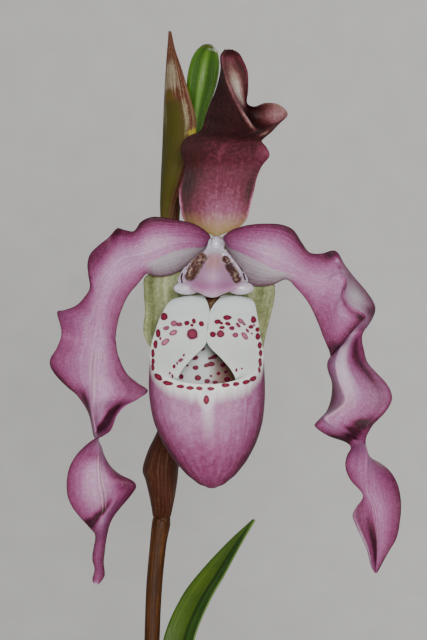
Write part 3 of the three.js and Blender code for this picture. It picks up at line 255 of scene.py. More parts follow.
FLORAL_BRACT = [
    [[5.8, -3.8, 314], [3.2, -2.4, 314.4], [8.5, -2.4, 314.4], [-0.7, -0.5, 0], [0.7, -0.5, 0]],
    [[6, -7, 317], [2.8, -2.5, 317.4], [9.1, -2.5, 317.4], [-0.9, -1, 0], [0.9, -1, 0]],
    [[6, -8.8, 320.5], [2, -2.8, 321], [9.9, -2.8, 321], [-0.9, -1.4, 0], [0.9, -1.4, 0]],
    [[5.8, -9.8, 325], [0.9, -3.4, 325.5], [10.6, -3.4, 325.5], [-0.8, -1.7, 0], [0.8, -1.7, 0]],
    [[5.6, -10.8, 329], [0, -4.4, 329], [11, -4.6, 329.5], [-0.7, -1.8, 0], [0.8, -1.8, 0]],
    [[6, -12, 334], [1.6, -6.6, 334.5], [11.6, -7, 335], [-0.5, -1.8, 0], [0.6, -1.8, 0]],
    [[7, -13.4, 340], [4.2, -9.4, 340], [12, -9.8, 341], [-0.2, -1.4, 0], [0.4, -1.4, 0]],
    [[8.2, -14.6, 346], [6.8, -12.4, 346], [11.4, -12.6, 346.4], [0, -0.8, 0], [0, -0.8, 0]],
    [[9.2, -15.4, 351], [8.6, -15, 350.8], [10, -15, 350.8]],
]

SHEATH = [
    [[6, -1, 404], [8.6, -3.9, 404], [8.6, 3.9, 404], [-1.2, -1.4, 0], [-1.2, 1.4, 0]],
    [[5.6, -1.4, 412], [10.2, -5, 412], [10, 3.6, 412], [-1.4, -2, 0], [-1.4, 2, 0]],
    [[5.8, -2, 420], [13.4, -8.8, 421], [11.2, 3, 420], [-1.5, -2.6, 0], [-1.4, 2, 0]],
    [[6.2, -2.6, 428], [16, -11, 429], [12.6, 1.8, 428], [-1.3, -2.6, 0], [-1.4, 2, 0]],
    [[6.5, -2.8, 436], [16.6, -10.8, 437], [12.6, 0.8, 436], [-1.1, -2.2, 0], [-1.1, 1.6, 0]],
    [[6.8, -2.8, 444], [14.5, -9.8, 445], [12.2, 0, 444], [-0.8, -1.6, 0], [-0.9, 1.2, 0]],
    [[7.2, -2.8, 452], [12.5, -7.8, 452], [11, -0.8, 452], [-0.5, -1, 0], [-0.5, 0.8, 0]],
    [[7.8, -2.8, 460], [9.9, -4, 460], [9.4, -2, 460]],
    [[8.2, -2.8, 465.4], [8.8, -3, 465.3], [8.7, -2.5, 465.3]],
]

SCAPE_BRACT = [
    [[-3, 0, 202], [0.8, -3.8, 202], [0.8, 3.8, 202], [-1.3, -1.1, 0], [-1.3, 1.1, 0]],
    [[-3.2, 0, 214], [1.2, -3.9, 213], [1.2, 3.9, 213], [-1.3, -1.1, 0], [-1.3, 1.1, 0]],
    [[-3, 0, 226], [0.4, -3.2, 224], [0.4, 3.2, 224], [-1, -1, 0], [-1, 1, 0]],
    [[-2.4, 0, 236], [-1.4, -0.8, 235.6], [-1.4, 0.8, 235.6]],
]

# Spots on the pouch, seen from the front: (x, z, half width, half height, tilt, fading).
FLAP_SPOTS = [
    (-12.5, -23.6, 1.0, 1.1), (-9.6, -25.6, 0.9, 0.8, 0, 0.5), (-8.1, -25.9, 0.9, 0.6, 0, 0.3),
    (-5.8, -25.5, 0.8, 0.7, 20), (-3.8, -24.9, 0.6, 0.7), (-4.3, -26.1, 0.5, 0.4),
    (-1.6, -25.7, 0.8, 0.7), (-11.9, -27.0, 0.9, 0.6, 10, 0.4), (-9.8, -28.3, 1.2, 0.7, 20, 0.7),
    (-4.2, -28.7, 1.6, 1.5, -30, 0.25), (-12.1, -31.0, 1.3, 0.7, 35, 0.8), (-13.5, -30.0, 0.3, 0.4),
    (-6.6, -34.7, 0.3, 0.4), (-7.5, -36.1, 0.7, 0.5, 30, 0.3), (-9.3, -37.9, 0.4, 0.6),
    (-8.5, -37.0, 0.3, 0.4), (-10.5, -39.8, 0.3, 0.4), (-9.8, -40.6, 0.3, 0.5), (6.0, -23.9, 1.2, 0.7),
    (3.1, -25.1, 0.9, 0.7, 10), (4.3, -25.5, 0.5, 0.4), (6.1, -25.7, 0.8, 0.5, -15),
    (9.9, -24.9, 1.0, 0.6, -30, 0.5), (9.2, -26.1, 0.8, 0.5, -45, 0.3), (11.0, -25.9, 0.4, 0.3),
    (7.3, -27.0, 0.8, 0.6, 0, 0.2), (4.4, -26.8, 0.8, 0.5), (1.8, -28.8, 0.9, 0.8),
    (4.0, -28.6, 1.1, 1.0, 0, 0.25), (8.3, -29.0, 0.8, 0.7, 0, 0.4), (11.0, -29.2, 1.2, 0.7, -50, 0.6),
    (11.8, -27.7, 0.7, 0.4, -60, 0.3), (13.1, -28.5, 0.3, 0.3), (13.7, -24.5, 0.8, 1.0),
    (12.9, -26.6, 0.7, 0.6), (13.9, -26.1, 0.3, 0.3), (8.5, -38.9, 0.3, 0.5), (10.1, -38.5, 0.3, 0.3),
]
INSIDE_SPOTS = [
    (-1.3, -33.3, 0.7, 0.5, 20), (-3.5, -35.9, 0.9, 0.6, 20), (-5.9, -38.1, 0.5, 0.4),
    (2.1, -35.6, 1.1, 0.6, 20), (0.8, -36.0, 0.4, 0.5), (-0.1, -38.1, 0.9, 0.6, 20),
    (1.3, -37.7, 1.0, 0.7), (-3.4, -38.8, 0.9, 0.7), (4.8, -38.0, 0.8, 0.7), (-7.6, -41.4, 0.7, 0.7),
    (-2.7, -41.8, 1.0, 0.8), (1.2, -41.2, 0.4, 0.4), (3.4, -40.5, 0.6, 0.6), (5.7, -40.0, 0.6, 0.6),
    (0.1, -42.8, 0.9, 0.7), (2.5, -43.1, 0.9, 0.5), (6.0, -42.2, 0.9, 0.8), (-5.2, -44.6, 0.8, 0.7),
    (-0.8, -45.6, 0.7, 0.7), (4.2, -45.2, 0.8, 0.6),
]
RIM_SPOTS = [
    (-13.9, -40.9, 1.3, 0.8, -35), (-11.1, -42.6, 1.5, 0.6, -8), (-7.5, -43.5, 1.2, 0.5),
    (-4.7, -43.9, 1.1, 0.5), (-2.1, -44.0, 1.0, 0.5), (1.2, -44.1, 1.0, 0.5), (5.4, -43.1, 1.2, 0.6),
    (8.4, -42.8, 0.9, 0.6), (11.3, -42.3, 1.1, 0.6, 15), (13.3, -41.4, 1.0, 0.7, 25),
]
SIDE_SPOTS = [
    (-14.2, -28.5, 0.7, 1.2), (-14.9, -31.7, 0.6, 1.2), (-15.6, -34.2, 0.5, 1.2),
    (-15.5, -36.5, 0.5, 0.9), (-15.5, -38.2, 0.5, 0.9), (14.8, -27.4, 0.6, 0.7),
    (14.9, -29.4, 0.7, 1.0), (15.4, -32.0, 0.6, 1.0), (15.6, -34.2, 0.5, 0.9), (15.4, -36.8, 0.5, 1.2),
    (15.1, -38.9, 0.4, 0.9),
]
DROP_SPOT = (-0.1, -47.2, 0.8, 1.3)
# Each set with the places where it shows: 0 to 1 outside, 1 to 2 over the flaps, 3 to 4 inside.
SPOT_SETS = [(FLAP_SPOTS, 1.0, 2.0), (INSIDE_SPOTS, 3.0, 4.0), (RIM_SPOTS, 0.8, 1.6),
             (SIDE_SPOTS, 0.7, 1.3), ([DROP_SPOT], 0.0, 0.98)]

HUB = [[0, 5.4, -1.6, 2], [0, 2, -1.6, 2.1], [0, -2, -1.6, 2.3], [-0.2, -5, -2.4, 2.5],
       [-0.4, -7, -3.4, 2.2]]
SHOULDERS = [[-8.9, -12.2, -15.2], [6.9, -12.2, -15.2]]
# The hairy hollows beside the shield, as (points of their middle line in x and z, half width).
HOLLOWS = [
    ([(-4.8, -6.2), (-5.8, -7.8), (-6.9, -9.6), (-7.8, -11.4)], 1.5),
    ([(2.5, -6.5), (2.9, -6.9)], 0.85), ([(3.7, -8.8), (5.0, -10.8), (5.8, -12.5)], 1.1),
]
# The white rims that stand up outside the hollows, and thin dark lines outside those, which are painted
# shadow lines along the column's edge.
RIMS = [[(-4.6, -4.3), (-6.6, -6.6), (-8.9, -9.6), (-9.9, -12.9)], [(1.9, -4.8), (4.5, -6.8),
                                                                    (6.6, -9.4), (7.7, -12.6)]]
SHADOW_LINES = [[(-5.3, -4.0), (-7.4, -6.3), (-9.2, -8.6)], [(-10.3, -10.8), (-10.6, -12.2), (-10.3, -13.6)],
         [(4.2, -5.6), (6.0, -7.6), (7.6, -10.2)], [(7.8, -10.8), (8.3, -12.8)]]

# ---------------------------------------------------------------- colour
# Tones run from 0, dark, to 1, pale: a curve across the blade from margin to margin, a curve
# along it from foot to tip, and patches of (across, along, reach across, reach along, amount).
EVEN = [(0, 1), (1, 1)]
NONE = [(0, 0), (1, 0)]
# Darker towards both margins: partly the petals' own magenta margins and partly painted shade where the
# blade turns away from the light.
PETAL_ACROSS = [(0, 0.1), (0.04, 0.24), (0.16, 0.42), (0.38, 0.68), (0.62, 0.66), (0.82, 0.46),
                (0.95, 0.3), (1, 0.12)]
LEFT_ALONG = [(0, 0.5), (0.03, 0.75), (0.07, 1), (0.84, 1), (0.87, 0.6), (0.97, 0.6), (1, 1)]
RIGHT_ALONG = [(0, 0.5), (0.03, 0.75), (0.07, 1), (0.64, 1), (0.7, 0.84), (1, 0.8)]
FLANGE = ([(0, 0), (0.5, 0), (0.53, 1), (1, 1)], [(0, 1), (0.1, 1), (0.125, 0), (1, 0)])
# In the left petal's tone, the deep patches near 0.53 to 0.62 along and 0.8 to 0.83 along are painted shade
# in the troughs and folds where the blade twists, and the pale patch at 0.3 across, 0.1 along is a painted
# highlight.
LEFT_PAINT = {
    "tone": (PETAL_ACROSS, LEFT_ALONG, [
        (0.02, 0.11, 0.12, 0.06, -0.15), (0.3, 0.1, 0.14, 0.035, 0.25), (0.4, 0.18, 0.2, 0.05, 0.1),
        (0.05, 0.172, 0.06, 0.012, -0.18), (0.16, 0.21, 0.12, 0.03, -0.16),
        (0.02, 0.27, 0.14, 0.04, -0.12), (0.03, 0.4, 0.08, 0.08, 0.12), (0.66, 0.4, 0.16, 0.07, 0.12),
        (0.24, 0.535, 0.12, 0.026, -0.45), (0.02, 0.49, 0.08, 0.03, -0.2),
        (0.3, 0.57, 0.16, 0.03, -0.35), (0.62, 0.53, 0.1, 0.06, 0.1), (0.86, 0.5, 0.1, 0.03, -0.15),
        (0.86, 0.578, 0.1, 0.026, -0.85), (0.72, 0.612, 0.14, 0.016, -0.7),
        (1.0, 0.57, 0.05, 0.04, 0.4), (0.18, 0.75, 0.14, 0.045, -0.25), (0.66, 0.75, 0.18, 0.05, 0.15),
        (0.4, 0.797, 0.08, 0.012, -0.4), (0.5, 0.81, 0.08, 0.012, -0.7),
        (0.64, 0.822, 0.1, 0.013, -0.8), (0.84, 0.832, 0.14, 0.012, -0.85),
        (0.62, 0.685, 0.2, 0.018, -0.3), (0.35, 0.93, 0.4, 0.06, -0.06), (0.5, 1.0, 0.6, 0.015, 0.4)]),
    "pale": FLANGE,
    "vein": (EVEN, [(0, 0), (0.4, 0), (0.44, 0.8), (0.55, 0.6), (0.6, 0), (0.67, 0), (0.7, 1), (0.8, 1),
                    (0.82, 0), (1, 0)]),
}
# In the right petal's tone, the deep patches about 0.36 along, 0.62 to 0.67 along and at 0.93 along are
# painted shade in the channel, under the fold and in the groove near the tip; the small pale patch at 0.212
# along and the pale rim at 0.93 along, in tone and in pale, are painted highlights.
RIGHT_PAINT = {
    "tone": (PETAL_ACROSS, RIGHT_ALONG, [
        (0.3, 0.075, 0.18, 0.04, 0.2), (0.05, 0.12, 0.1, 0.04, -0.15), (0.07, 0.19, 0.1, 0.016, -0.26),
        (0.16, 0.212, 0.04, 0.006, 0.45), (0.3, 0.221, 0.05, 0.006, -0.35),
        (0.42, 0.231, 0.06, 0.007, -0.45), (0.25, 0.25, 0.15, 0.014, -0.15),
        (0.5, 0.262, 0.03, 0.022, -0.5), (0.52, 0.3, 0.03, 0.02, -0.45),
        (0.54, 0.335, 0.03, 0.022, -0.35), (0.47, 0.358, 0.1, 0.012, -0.25),
        (0.12, 0.325, 0.1, 0.012, -0.25), (0.3, 0.295, 0.16, 0.02, 0.15),
        (0.66, 0.357, 0.2, 0.022, -0.5), (0.95, 0.35, 0.12, 0.04, -0.3), (0.42, 0.48, 0.08, 0.06, 0.32),
        (0.2, 0.45, 0.08, 0.035, -0.42), (0.13, 0.49, 0.05, 0.03, -0.3),
        (0.88, 0.55, 0.12, 0.045, -0.18), (0.06, 0.612, 0.1, 0.02, -0.12),
        (0.04, 0.53, 0.05, 0.05, 0.16), (0.86, 0.672, 0.2, 0.013, -0.8),
        (0.5, 0.662, 0.18, 0.014, -0.85), (0.28, 0.642, 0.12, 0.013, -0.85),
        (0.14, 0.618, 0.08, 0.016, -0.6), (0.63, 0.93, 0.12, 0.06, -0.65),
        (0.97, 0.93, 0.04, 0.06, 0.5),
        (0.86, 0.87, 0.1, 0.04, -0.12), (0.86, 0.73, 0.1, 0.03, 0.1), (0.34, 0.86, 0.14, 0.05, 0.1)]),
    "pale": (*FLANGE, [(0.25, 0.286, 0.2, 0.032, 0.9), (0.42, 0.48, 0.07, 0.06, 0.3),
                       (0.14, 0.53, 0.12, 0.05, 0.3), (0.97, 0.93, 0.04, 0.06, 0.6)]),
    "vein": (EVEN, [(0, 0), (0.5, 0), (0.54, 1), (0.61, 1), (0.63, 0), (0.78, 0), (0.84, 0.5), (1, 0.5)]),
}
# The dorsal's tone darkens up the sepal towards where it leans over, partly its own red-brown and partly
# painted shade; the dark patch at 0.7 across, 0.66 along is painted shade in the hollow of the curled
# channel.
DORSAL_PAINT = {
    "tone": ([(0, 0.3), (0.1, 0.4), (0.3, 0.8), (0.5, 1), (0.75, 0.92), (0.92, 0.75), (0.98, 0.6),
              (1, 0.8)],
             [(0, 0.88), (0.06, 0.82), (0.11, 0.66), (0.16, 0.52), (0.22, 0.4), (0.3, 0.3), (0.39, 0.25),
              (0.45, 0.1), (1, 0.04)], [
        (0.46, 0.33, 0.04, 0.05, 0.12), (0.96, 0.33, 0.07, 0.05, 0.26), (0.93, 0.59, 0.12, 0.05, 0.5),
        (0.1, 0.195, 0.1, 0.05, -0.16), (0.94, 0.175, 0.08, 0.04, -0.2),
        (0.84, 0.475, 0.08, 0.02, 0.35), (0.7, 0.66, 0.12, 0.04, -0.3), (0.64, 0.8, 0.15, 0.09, 0.7),
        (0.98, 0.85, 0.06, 0.1, 0.3), (0.6, 0.94, 0.4, 0.04, 0.3), (0.5, 0.62, 0.03, 0.08, 0.4),
        (1.0, 0.14, 0.03, 0.06, 0.6), (0.0, 0.14, 0.03, 0.06, 0.7)]),
    "pale": (EVEN, NONE, [(0.65, 0.84, 0.16, 0.07, 1.0), (0.63, 0.75, 0.09, 0.05, 0.8),
                          (0.5, 0.6, 0.025, 0.1, 0.6),
                          (0.84, 0.475, 0.1, 0.02, 0.6), (0.92, 0.59, 0.1, 0.06, 0.35),
                          (1.0, 0.62, 0.03, 0.06, 0.5)]),
}
SHEATH_PAINT = {
    "white": ([(0, 0.2), (0.1, 0.5), (0.2, 0.9), (0.42, 0.85), (0.5, 0.55), (1, 0.5)],
              [(0, 0), (0.62, 0), (0.68, 0.7), (0.78, 0.8), (0.86, 0), (1, 0)],
              [(0.1, 0.54, 0.06, 0.12, 0.7), (0.46, 0.56, 0.05, 0.12, 0.5)]),
    "olive": ([(0, 0.3), (0.15, 0.8), (0.5, 1), (1, 0.8)], [(0, 1), (0.58, 0.9), (0.68, 0), (1, 0)]),
    "yellow": (EVEN, NONE, [(0.03, 0.44, 0.08, 0.025, 0.9)]),
    "blotch": (EVEN, NONE, [(0.36, 0.64, 0.1, 0.04, 1)]),
}


# ---------------------------------------------------------------- curves and meshes
OFF_BEAT = 0.35                            # the right margin's ripples run ahead by this share of one
THINNING = 6                               # the higher, the nearer to its margins a blade thins


def sample(rows, t, closed=False):
    """Points of a smooth curve through rows of numbers; t is an array from 0 to 1."""
    rows = np.asarray(rows, float)
    t = np.atleast_1d(t)
    count = len(rows)
    spans = count if closed else count - 1
    place = t * spans if closed else np.clip(t, 0, 1) * spans
    k = np.minimum(place.astype(int), spans - 1)
    u = (place - k)[:, None]

    def pick(step):
        return rows[(k + step) % count] if closed else rows[np.clip(k + step, 0, count - 1)]

    a, b, c, d = pick(-1), pick(0), pick(1), pick(2)
    return b + 0.5 * u * (c - a + u * (2 * a - 5 * b + 4 * c - d + u * (3 * (b - c) + d - a)))


def unit(a):
    return a / np.maximum(np.linalg.norm(a, axis=-1, keepdims=True), 1e-9)


def turns(count):
    """Angles spaced evenly round a full turn."""
    return 2 * np.pi * np.arange(count) / count


def circle(radius, z, sides):
    """Points of a level ring round the upright axis."""
    turn = turns(sides)
    return np.stack([radius * np.cos(turn), radius * np.sin(turn), np.full(sides, z)], axis=1)


def add_marks(mesh, marks):
    """Marks are named numbers or vectors, one for each point of the mesh."""
    for key, values in marks.items():
        values = np.asarray(values, np.float32)
        kind = "FLOAT_VECTOR" if values.ndim == 2 else "FLOAT"
        layer = mesh.attributes.new(key, kind, "POINT")
        layer.data.foreach_set("vector" if values.ndim == 2 else "value", values.ravel())


def smooth(piece):
    piece.data.polygons.foreach_set("use_smooth", [True] * len(piece.data.polygons))
    return piece


def shown(name, mesh):
    """The mesh as a smooth piece of the scene."""
    piece = bpy.data.objects.new(name, mesh)
    bpy.context.scene.collection.objects.link(piece)
    return smooth(piece)


def mesh_piece(name, points, faces, place=HERE, marks=None):
    """A piece from points in millimetres."""
    mesh = bpy.data.meshes.new(name)
    mesh.from_pydata(((np.asarray(points) + place) * MM).tolist(), [], faces)
    add_marks(mesh, marks or {})
    mesh.validate()
    mesh.update()
    bm = bmesh.new()
    bm.from_mesh(mesh)
    bmesh.ops.recalc_face_normals(bm, faces=bm.faces)
    bm.to_mesh(mesh)
    bm.free()
    return shown(name, mesh)


def cover(piece, material):
    piece.data.materials.clear()
    piece.data.materials.append(material)


def dress(piece, material, node):
    """The finer piece stands for one CAD node, in its finish."""
    cover(piece, material)
    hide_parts(node)
    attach(piece, "root")


def belt(first, second, size):
    """Quads between two closed rings of points; first and second number their first points."""
    return [(first + j, first + k, second + k, second + j)
            for j, k in zip(range(size), [*range(1, size), 0])]


def ring_faces(rings, size):
    """Quads between closed rings that follow one another, with a fan on each end."""
    faces = []
    for i in range(rings - 1):
        faces += belt(i * size, (i + 1) * size, size)
    pole = rings * size
    tail = pole - size
    for j in range(size):
        k = (j + 1) % size
        faces += [(k, j, pole), (tail + j, tail + k, pole + 1)]
    return faces


def blade_sheet(stations, along, across, waves=(), soften=0):
    """The middle surface of a petal or leaf, with its across and along numbers.

    waves holds (height, count, how closely they keep to the margin) for each set of ripples.
    soften is the count of rounds of smoothing along the middle of each half.
    """
    flat = [0, 0, 0]
    rows = [sum((list(p) for p in (*station, flat, flat)[:5]), []) for station in stations]
    t = np.linspace(0, 1, along + 1)
    s = np.linspace(-1, 1, across + 1)
    row = sample(rows, t)[:, None, :]
    reach = np.abs(s)[None, :, None]
    left = (s < 0)[None, :, None]
    mid = row[..., 0:3]
    edge = np.where(left, row[..., 3:6], row[..., 6:9])
    bulge = np.where(left, row[..., 9:12], row[..., 12:15])
    dome = 4 * reach * (1 - reach)
    sheet = mid + (edge - mid) * reach + bulge * dome
    for _ in range(soften):
        mean = (sheet[:-2] + 2 * sheet[1:-1] + sheet[2:]) / 4
        sheet[1:-1] += (mean - sheet[1:-1]) * dome ** 0.5
    fade = np.sin(np.pi * t)[:, None]
    shift = np.where(s < 0, 0.0, OFF_BEAT)[None, :]
    for height, count, inward in waves:
        turn = 2 * np.pi * (count * t[:, None] + shift)
        sheet[..., 1] += height * fade * reach[..., 0] ** inward * np.sin(turn)
    return sheet, s, t


def sheet_normals(sheet):
    along = np.gradient(sheet, axis=0)
    across = np.gradient(sheet, axis=1)
    return unit(np.cross(across, along))


def patchwork(s, t, by_across, by_along, patches=()):
    """Tone over a blade: one curve by across number times one by along number, then soft
    patches of (across, along, reach across, reach along, amount)."""
    across = (s * 0.5 + 0.5)[None, :]
    along = t[:, None]
    tone = np.interp(across, *zip(*by_across)) * np.interp(along, *zip(*by_along))
    for x, y, wide, long, amount in patches:
        tone = tone + amount * np.exp(-((across - x) / wide) ** 2 - ((along - y) / long) ** 2)
    return np.clip(tone, 0, 1)


def sheet_faces(rows, cols):
    """Quads of a front sheet, of the back sheet whose points follow it, and of the margins."""
    faces = []
    behind = rows * cols
    for i in range(rows - 1):
        start = i * cols
        for a in range(start, start + cols - 1):
            b, c, d = a + 1, a + 1 + cols, a + cols
            faces.append((a, b, c, d))
            faces.append((a + behind, d + behind, c + behind, b + behind))
        for a in (start, start + cols - 1):
            faces.append((a, a + cols, a + cols + behind, a + behind))
    for start in (0, behind - cols):
        for a in range(start, start + cols - 1):
            faces.append((a, a + behind, a + 1 + behind, a + 1))
    return faces


def thicken(name, sheet, s, t, thickness, place, tones, thin):
    """A closed blade round its middle surface, thinner towards the margins.

    Its mark 'leaf' holds (across, along, face), where face is 1 in front and 0 behind. Each
    further mark in tones is one number for each point of the sheet.
    """
    rows, cols = sheet.shape[:2]
    normals = sheet_normals(sheet)
    ahead = 1.0 if normals[:, cols // 2, 1].mean() < 0 else -1.0
    half = thickness / 2 * (1 - thin * np.abs(s) ** THINNING)[None, :, None]
    front = sheet + normals * half * ahead
    back = sheet - normals * half * ahead
    points = np.concatenate([front.reshape(-1, 3), back.reshape(-1, 3)])
    across, along = np.meshgrid(s * 0.5 + 0.5, t)
    face = np.repeat([1.0, 0.0], rows * cols)
    marks = {"leaf": np.stack([np.tile(across.ravel(), 2), np.tile(along.ravel(), 2), face], axis=1)}
    for key, values in tones.items():
        marks[key] = np.tile(values.ravel(), 2)
    return mesh_piece(name, points, sheet_faces(rows, cols), place, marks)


def blade(name, stations, along, across, thickness, place=HERE, waves=(), paint=None, thin=0.55,
          soften=0):
    """paint holds the given curves and patches for each named tone of the blade; thin is the share of the
    thickness that its margins lack."""
    sheet, s, t = blade_sheet(stations, along, across, waves, soften)
    tones = {key: patchwork(s, t, *hand) for key, hand in (paint or {}).items()}
    return thicken(name, sheet, s, t, thickness, place, tones, thin)


def stem(name, rows, along, sides, ribs=0, depth=0.0):
    """A round stem along rows of [x, y, z, radius].

    Its mark 'leaf' holds (turn, along, rib), where rib is 1 on a ridge and 0 between.
    """
    t = np.linspace(0, 1, along + 1)
    line = sample(rows, t)
    step = 0.5 / along
    ahead = unit(sample(rows, t + step)[:, :3] - sample(rows, t - step)[:, :3])
    side = np.array([1.0, 0, 0]) if abs(ahead[0][2]) > 0.9 else np.array([0, 0, 1.0])
    turn = turns(sides)
    rib = np.cos(ribs * turn)
    points = []
    marks = []
    for i in range(along + 1):
        side = unit(side - ahead[i] * side.dot(ahead[i]))
        other = np.cross(ahead[i], side)
        radius = line[i, 3] * (1 + depth * rib)
        points.append(line[i, :3] + radius[:, None] * (
            np.cos(turn)[:, None] * side + np.sin(turn)[:, None] * other))
        marks.append(np.stack([np.abs(turn / np.pi - 1), np.full(sides, t[i]), rib * 0.5 + 0.5], axis=1))
    points = np.concatenate(points + [line[:1, :3], line[-1:, :3]])
    marks = np.concatenate(marks + [[[0, 0, 0.5]], [[0, 1, 0.5]]])
    return mesh_piece(name, points, ring_faces(along + 1, sides), marks={"leaf": marks})


def turned(name, profile, sides, place=HERE):
    """A turned solid from (radius, height) points that start and end on the axis."""
    rings = [circle(radius, z, sides) for radius, z in profile[1:-1]]
    poles = [[0, 0, profile[0][1]], [0, 0, profile[-1][1]]]
    return mesh_piece(name, np.concatenate(rings + [poles]), ring_faces(len(rings), sides), place)


def egg(name, half_width, half_height, place=HERE):
    """A rounded lump, 20 sided."""
    arc = np.linspace(0, math.pi, 14)
    profile = [(half_width * math.sin(a), -half_height * math.cos(a)) for a in arc]
    return turned(name, profile, 20, place)


def melt(name, lumps, voxel, rounds):
    """Joins overlapping closed pieces into one smooth skin."""
    bm = bmesh.new()
    for lump in lumps:
        bm.from_mesh(lump.data)
        bpy.data.objects.remove(lump)
    mesh = bpy.data.meshes.new(name)
    bm.to_mesh(mesh)
    bm.free()
    piece = shown(name, mesh)
    remesh = piece.modifiers.new("remesh", "REMESH")
    remesh.mode = "VOXEL"
    remesh.voxel_size = voxel * MM
    relax = piece.modifiers.new("relax", "SMOOTH")
    relax.factor = 0.5
    relax.iterations = rounds
    apply_all(piece)
    return smooth(piece)


def apply_all(piece):
    """Turns what the piece's modifiers make of it into its own mesh."""
    graph = bpy.context.evaluated_depsgraph_get()
    final = bpy.data.meshes.new_from_object(piece.evaluated_get(graph))
    piece.modifiers.clear()
    piece.data = final


# ---------------------------------------------------------------- pouch
WALL = 0.8                                 # thickness of the bag
INNER_DROP = 0.6                           # the inner skin starts this share of the wall lower
NARROWEST = 0.2                            # half width that the inner skin keeps at the toe
SEAM = 0.28                                # how far each flap's free edge is drawn to the seam
FLAP_EDGE = 0.35                           # thickness of a flap at its free edge, and half that of its root
THROAT, THROAT_FADE = -7.5, 3.0            # behind this depth a flap's underside lies straight below it
LEAN_FROM, LEAN_TOP, LEAN = -32.0, -18.8, 1.5    # the mouth's lean to the right
TOE_TIP = 0.1                              # the toe's middle lies this far below its last ring
TOE_BAND = 30                              # mark 'band' at the toe, past all that it colours
SPOT_FALL = 0.7                            # a spot's mark falls to one half at its edge
WOBBLE = 0.06                              # unevenness of the spots' edges


def bag_section(z):
    """Shift, half width, middle and half depth of the bag at each height."""
    table = np.asarray(BAG, float)
    k = np.interp(-z, -table[:, 0], np.arange(len(table)))
    _, width, front, back, shift = sample(table, k / (len(table) - 1)).T
    return shift, width, (front + back) / 2, (back - front) / 2


def bag_points(z, turn, inset):
    shift, width, middle, depth = bag_section(z)
    x = shift + np.maximum(width - inset, NARROWEST) * math.cos(turn)
    y = middle + np.maximum(depth - inset, NARROWEST) * math.sin(turn)
    return np.stack([x, y, z], axis=1)


def bag_line(fold, inset, run):
    """One line of the bag's skin; run goes from 0 at the mouth's fold line to 1 at the toe."""
    shift, width, middle, depth = (float(n[0]) for n in bag_section(fold[2:3]))
    turn = math.atan2((fold[1] - middle) / depth, (fold[0] - shift) / width)
    toe = BAG[-1][0] + inset
    drift = fold - bag_points(fold[2:3], turn, 0)[0]
    top = fold[2] - INNER_DROP * inset
    z = top + (toe - top) * run
    return bag_points(z, turn, inset) + drift * ((1 - run) ** 2)[:, None]


def leaned(points):
    """The mouth leans a little to the right towards its top."""
    share = np.maximum(points[..., 2] - LEAN_FROM, 0) / (LEAN_TOP - LEAN_FROM)
    points[..., 0] += LEAN * share ** 2
    return points


def runs(*zones):
    """Places from 0 to 1, in zones of (where the zone ends, count of steps)."""
    places = [np.zeros(1)]
    start = 0
    for end, count in zones:
        places.append(np.linspace(start, end, count + 1)[1:])
        start = end
    return np.concatenate(places)


def flap_top(fold, edge, over):
    """Across the flap's upper side, dished, from the fold line to the free edge."""
    dish = 2 * over * (1 - over)
    return fold + (edge - fold) * over + dish * [0, -1, 1]


def flap_under(fold, edge, back):
    """Back along the flap's underside, from the free edge to the fold line."""
    low = 2 * back * (1 - back) - FLAP_EDGE * (2 - back)
    forward = np.clip((THROAT - fold[1]) / THROAT_FADE, 0, 1)
    return fold + (edge - fold) * back + low * [0, -forward, 1]


def pouch(around, flap, under):
    """The slipper: a bag whose rim folds in as two flaps that meet below the column. Its rings
    lie closer together where the spots are.

    Its mark 'skin' holds (how far to the right, how far to the back, place), where place runs
    0 to 1 up the outside, 1 to 2 across the flap, 2 to 3 back under it, 3 to 4 down the inside.
    Its mark 'band' is the depth below the mouth's fold line.
    """
    left = [[[-x, y, z] for x, y, z in row] for row in MOUTH[-2:0:-1]]
    mouth = sample([row[0] + row[1] for row in MOUTH + left], np.arange(around) / around, closed=True)
    mouth[:, 3] -= np.clip(mouth[:, 3], -SEAM, SEAM)
    outer = runs((0.2, 18), (0.8, 18), (0.96, 8), (1, 4))
    inner = runs((0.24, 6), (0.52, 40), (1, 14))
    over = np.linspace(0, 1, flap + 1)[1:, None]
    back = np.linspace(1, 0, under + 1)[:-1, None]
    columns = []
    for row in mouth:
        fold, edge = row[:3], row[3:]
        columns.append(np.concatenate([
            bag_line(fold, 0, outer)[::-1], flap_top(fold, edge, over),
            flap_under(fold, edge, back), bag_line(fold, WALL, inner)[1:]]))
    points = leaned(np.stack(columns, axis=1))
    rings = len(points)
    places = np.concatenate([1 - np.arcsin(outer[::-1]) * 2 / np.pi, 1 + over[:, 0], 3 - back[:, 0],
                             3 + np.arcsin(inner[1:]) * 2 / np.pi])
    turn = turns(around)
    marks = np.stack([np.tile(np.sin(turn), rings), np.tile(-np.cos(turn), rings),
                      np.repeat(places, around)], axis=1)
    band = mouth[None, :, 2] - points[..., 2]
    toe = BAG[-1]
    middle = [toe[4], (toe[2] + toe[3]) / 2]
    poles = [[*middle, toe[0] - TOE_TIP], [*middle, toe[0] + WALL]]
    points = np.concatenate([points.reshape(-1, 3), poles])
    marks = np.concatenate([marks, [[0, 0, 0], [0, 0, 4]]])
    band = np.concatenate([band.ravel(), [TOE_BAND, TOE_BAND]])
    spots, faded = spot_marks(points, marks[:, 2])
    return mesh_piece("pouch_fine", points, ring_faces(rings, around), POUCH_MIDDLE,
                      {"skin": marks, "band": band, "spots": spots, "faded": faded})


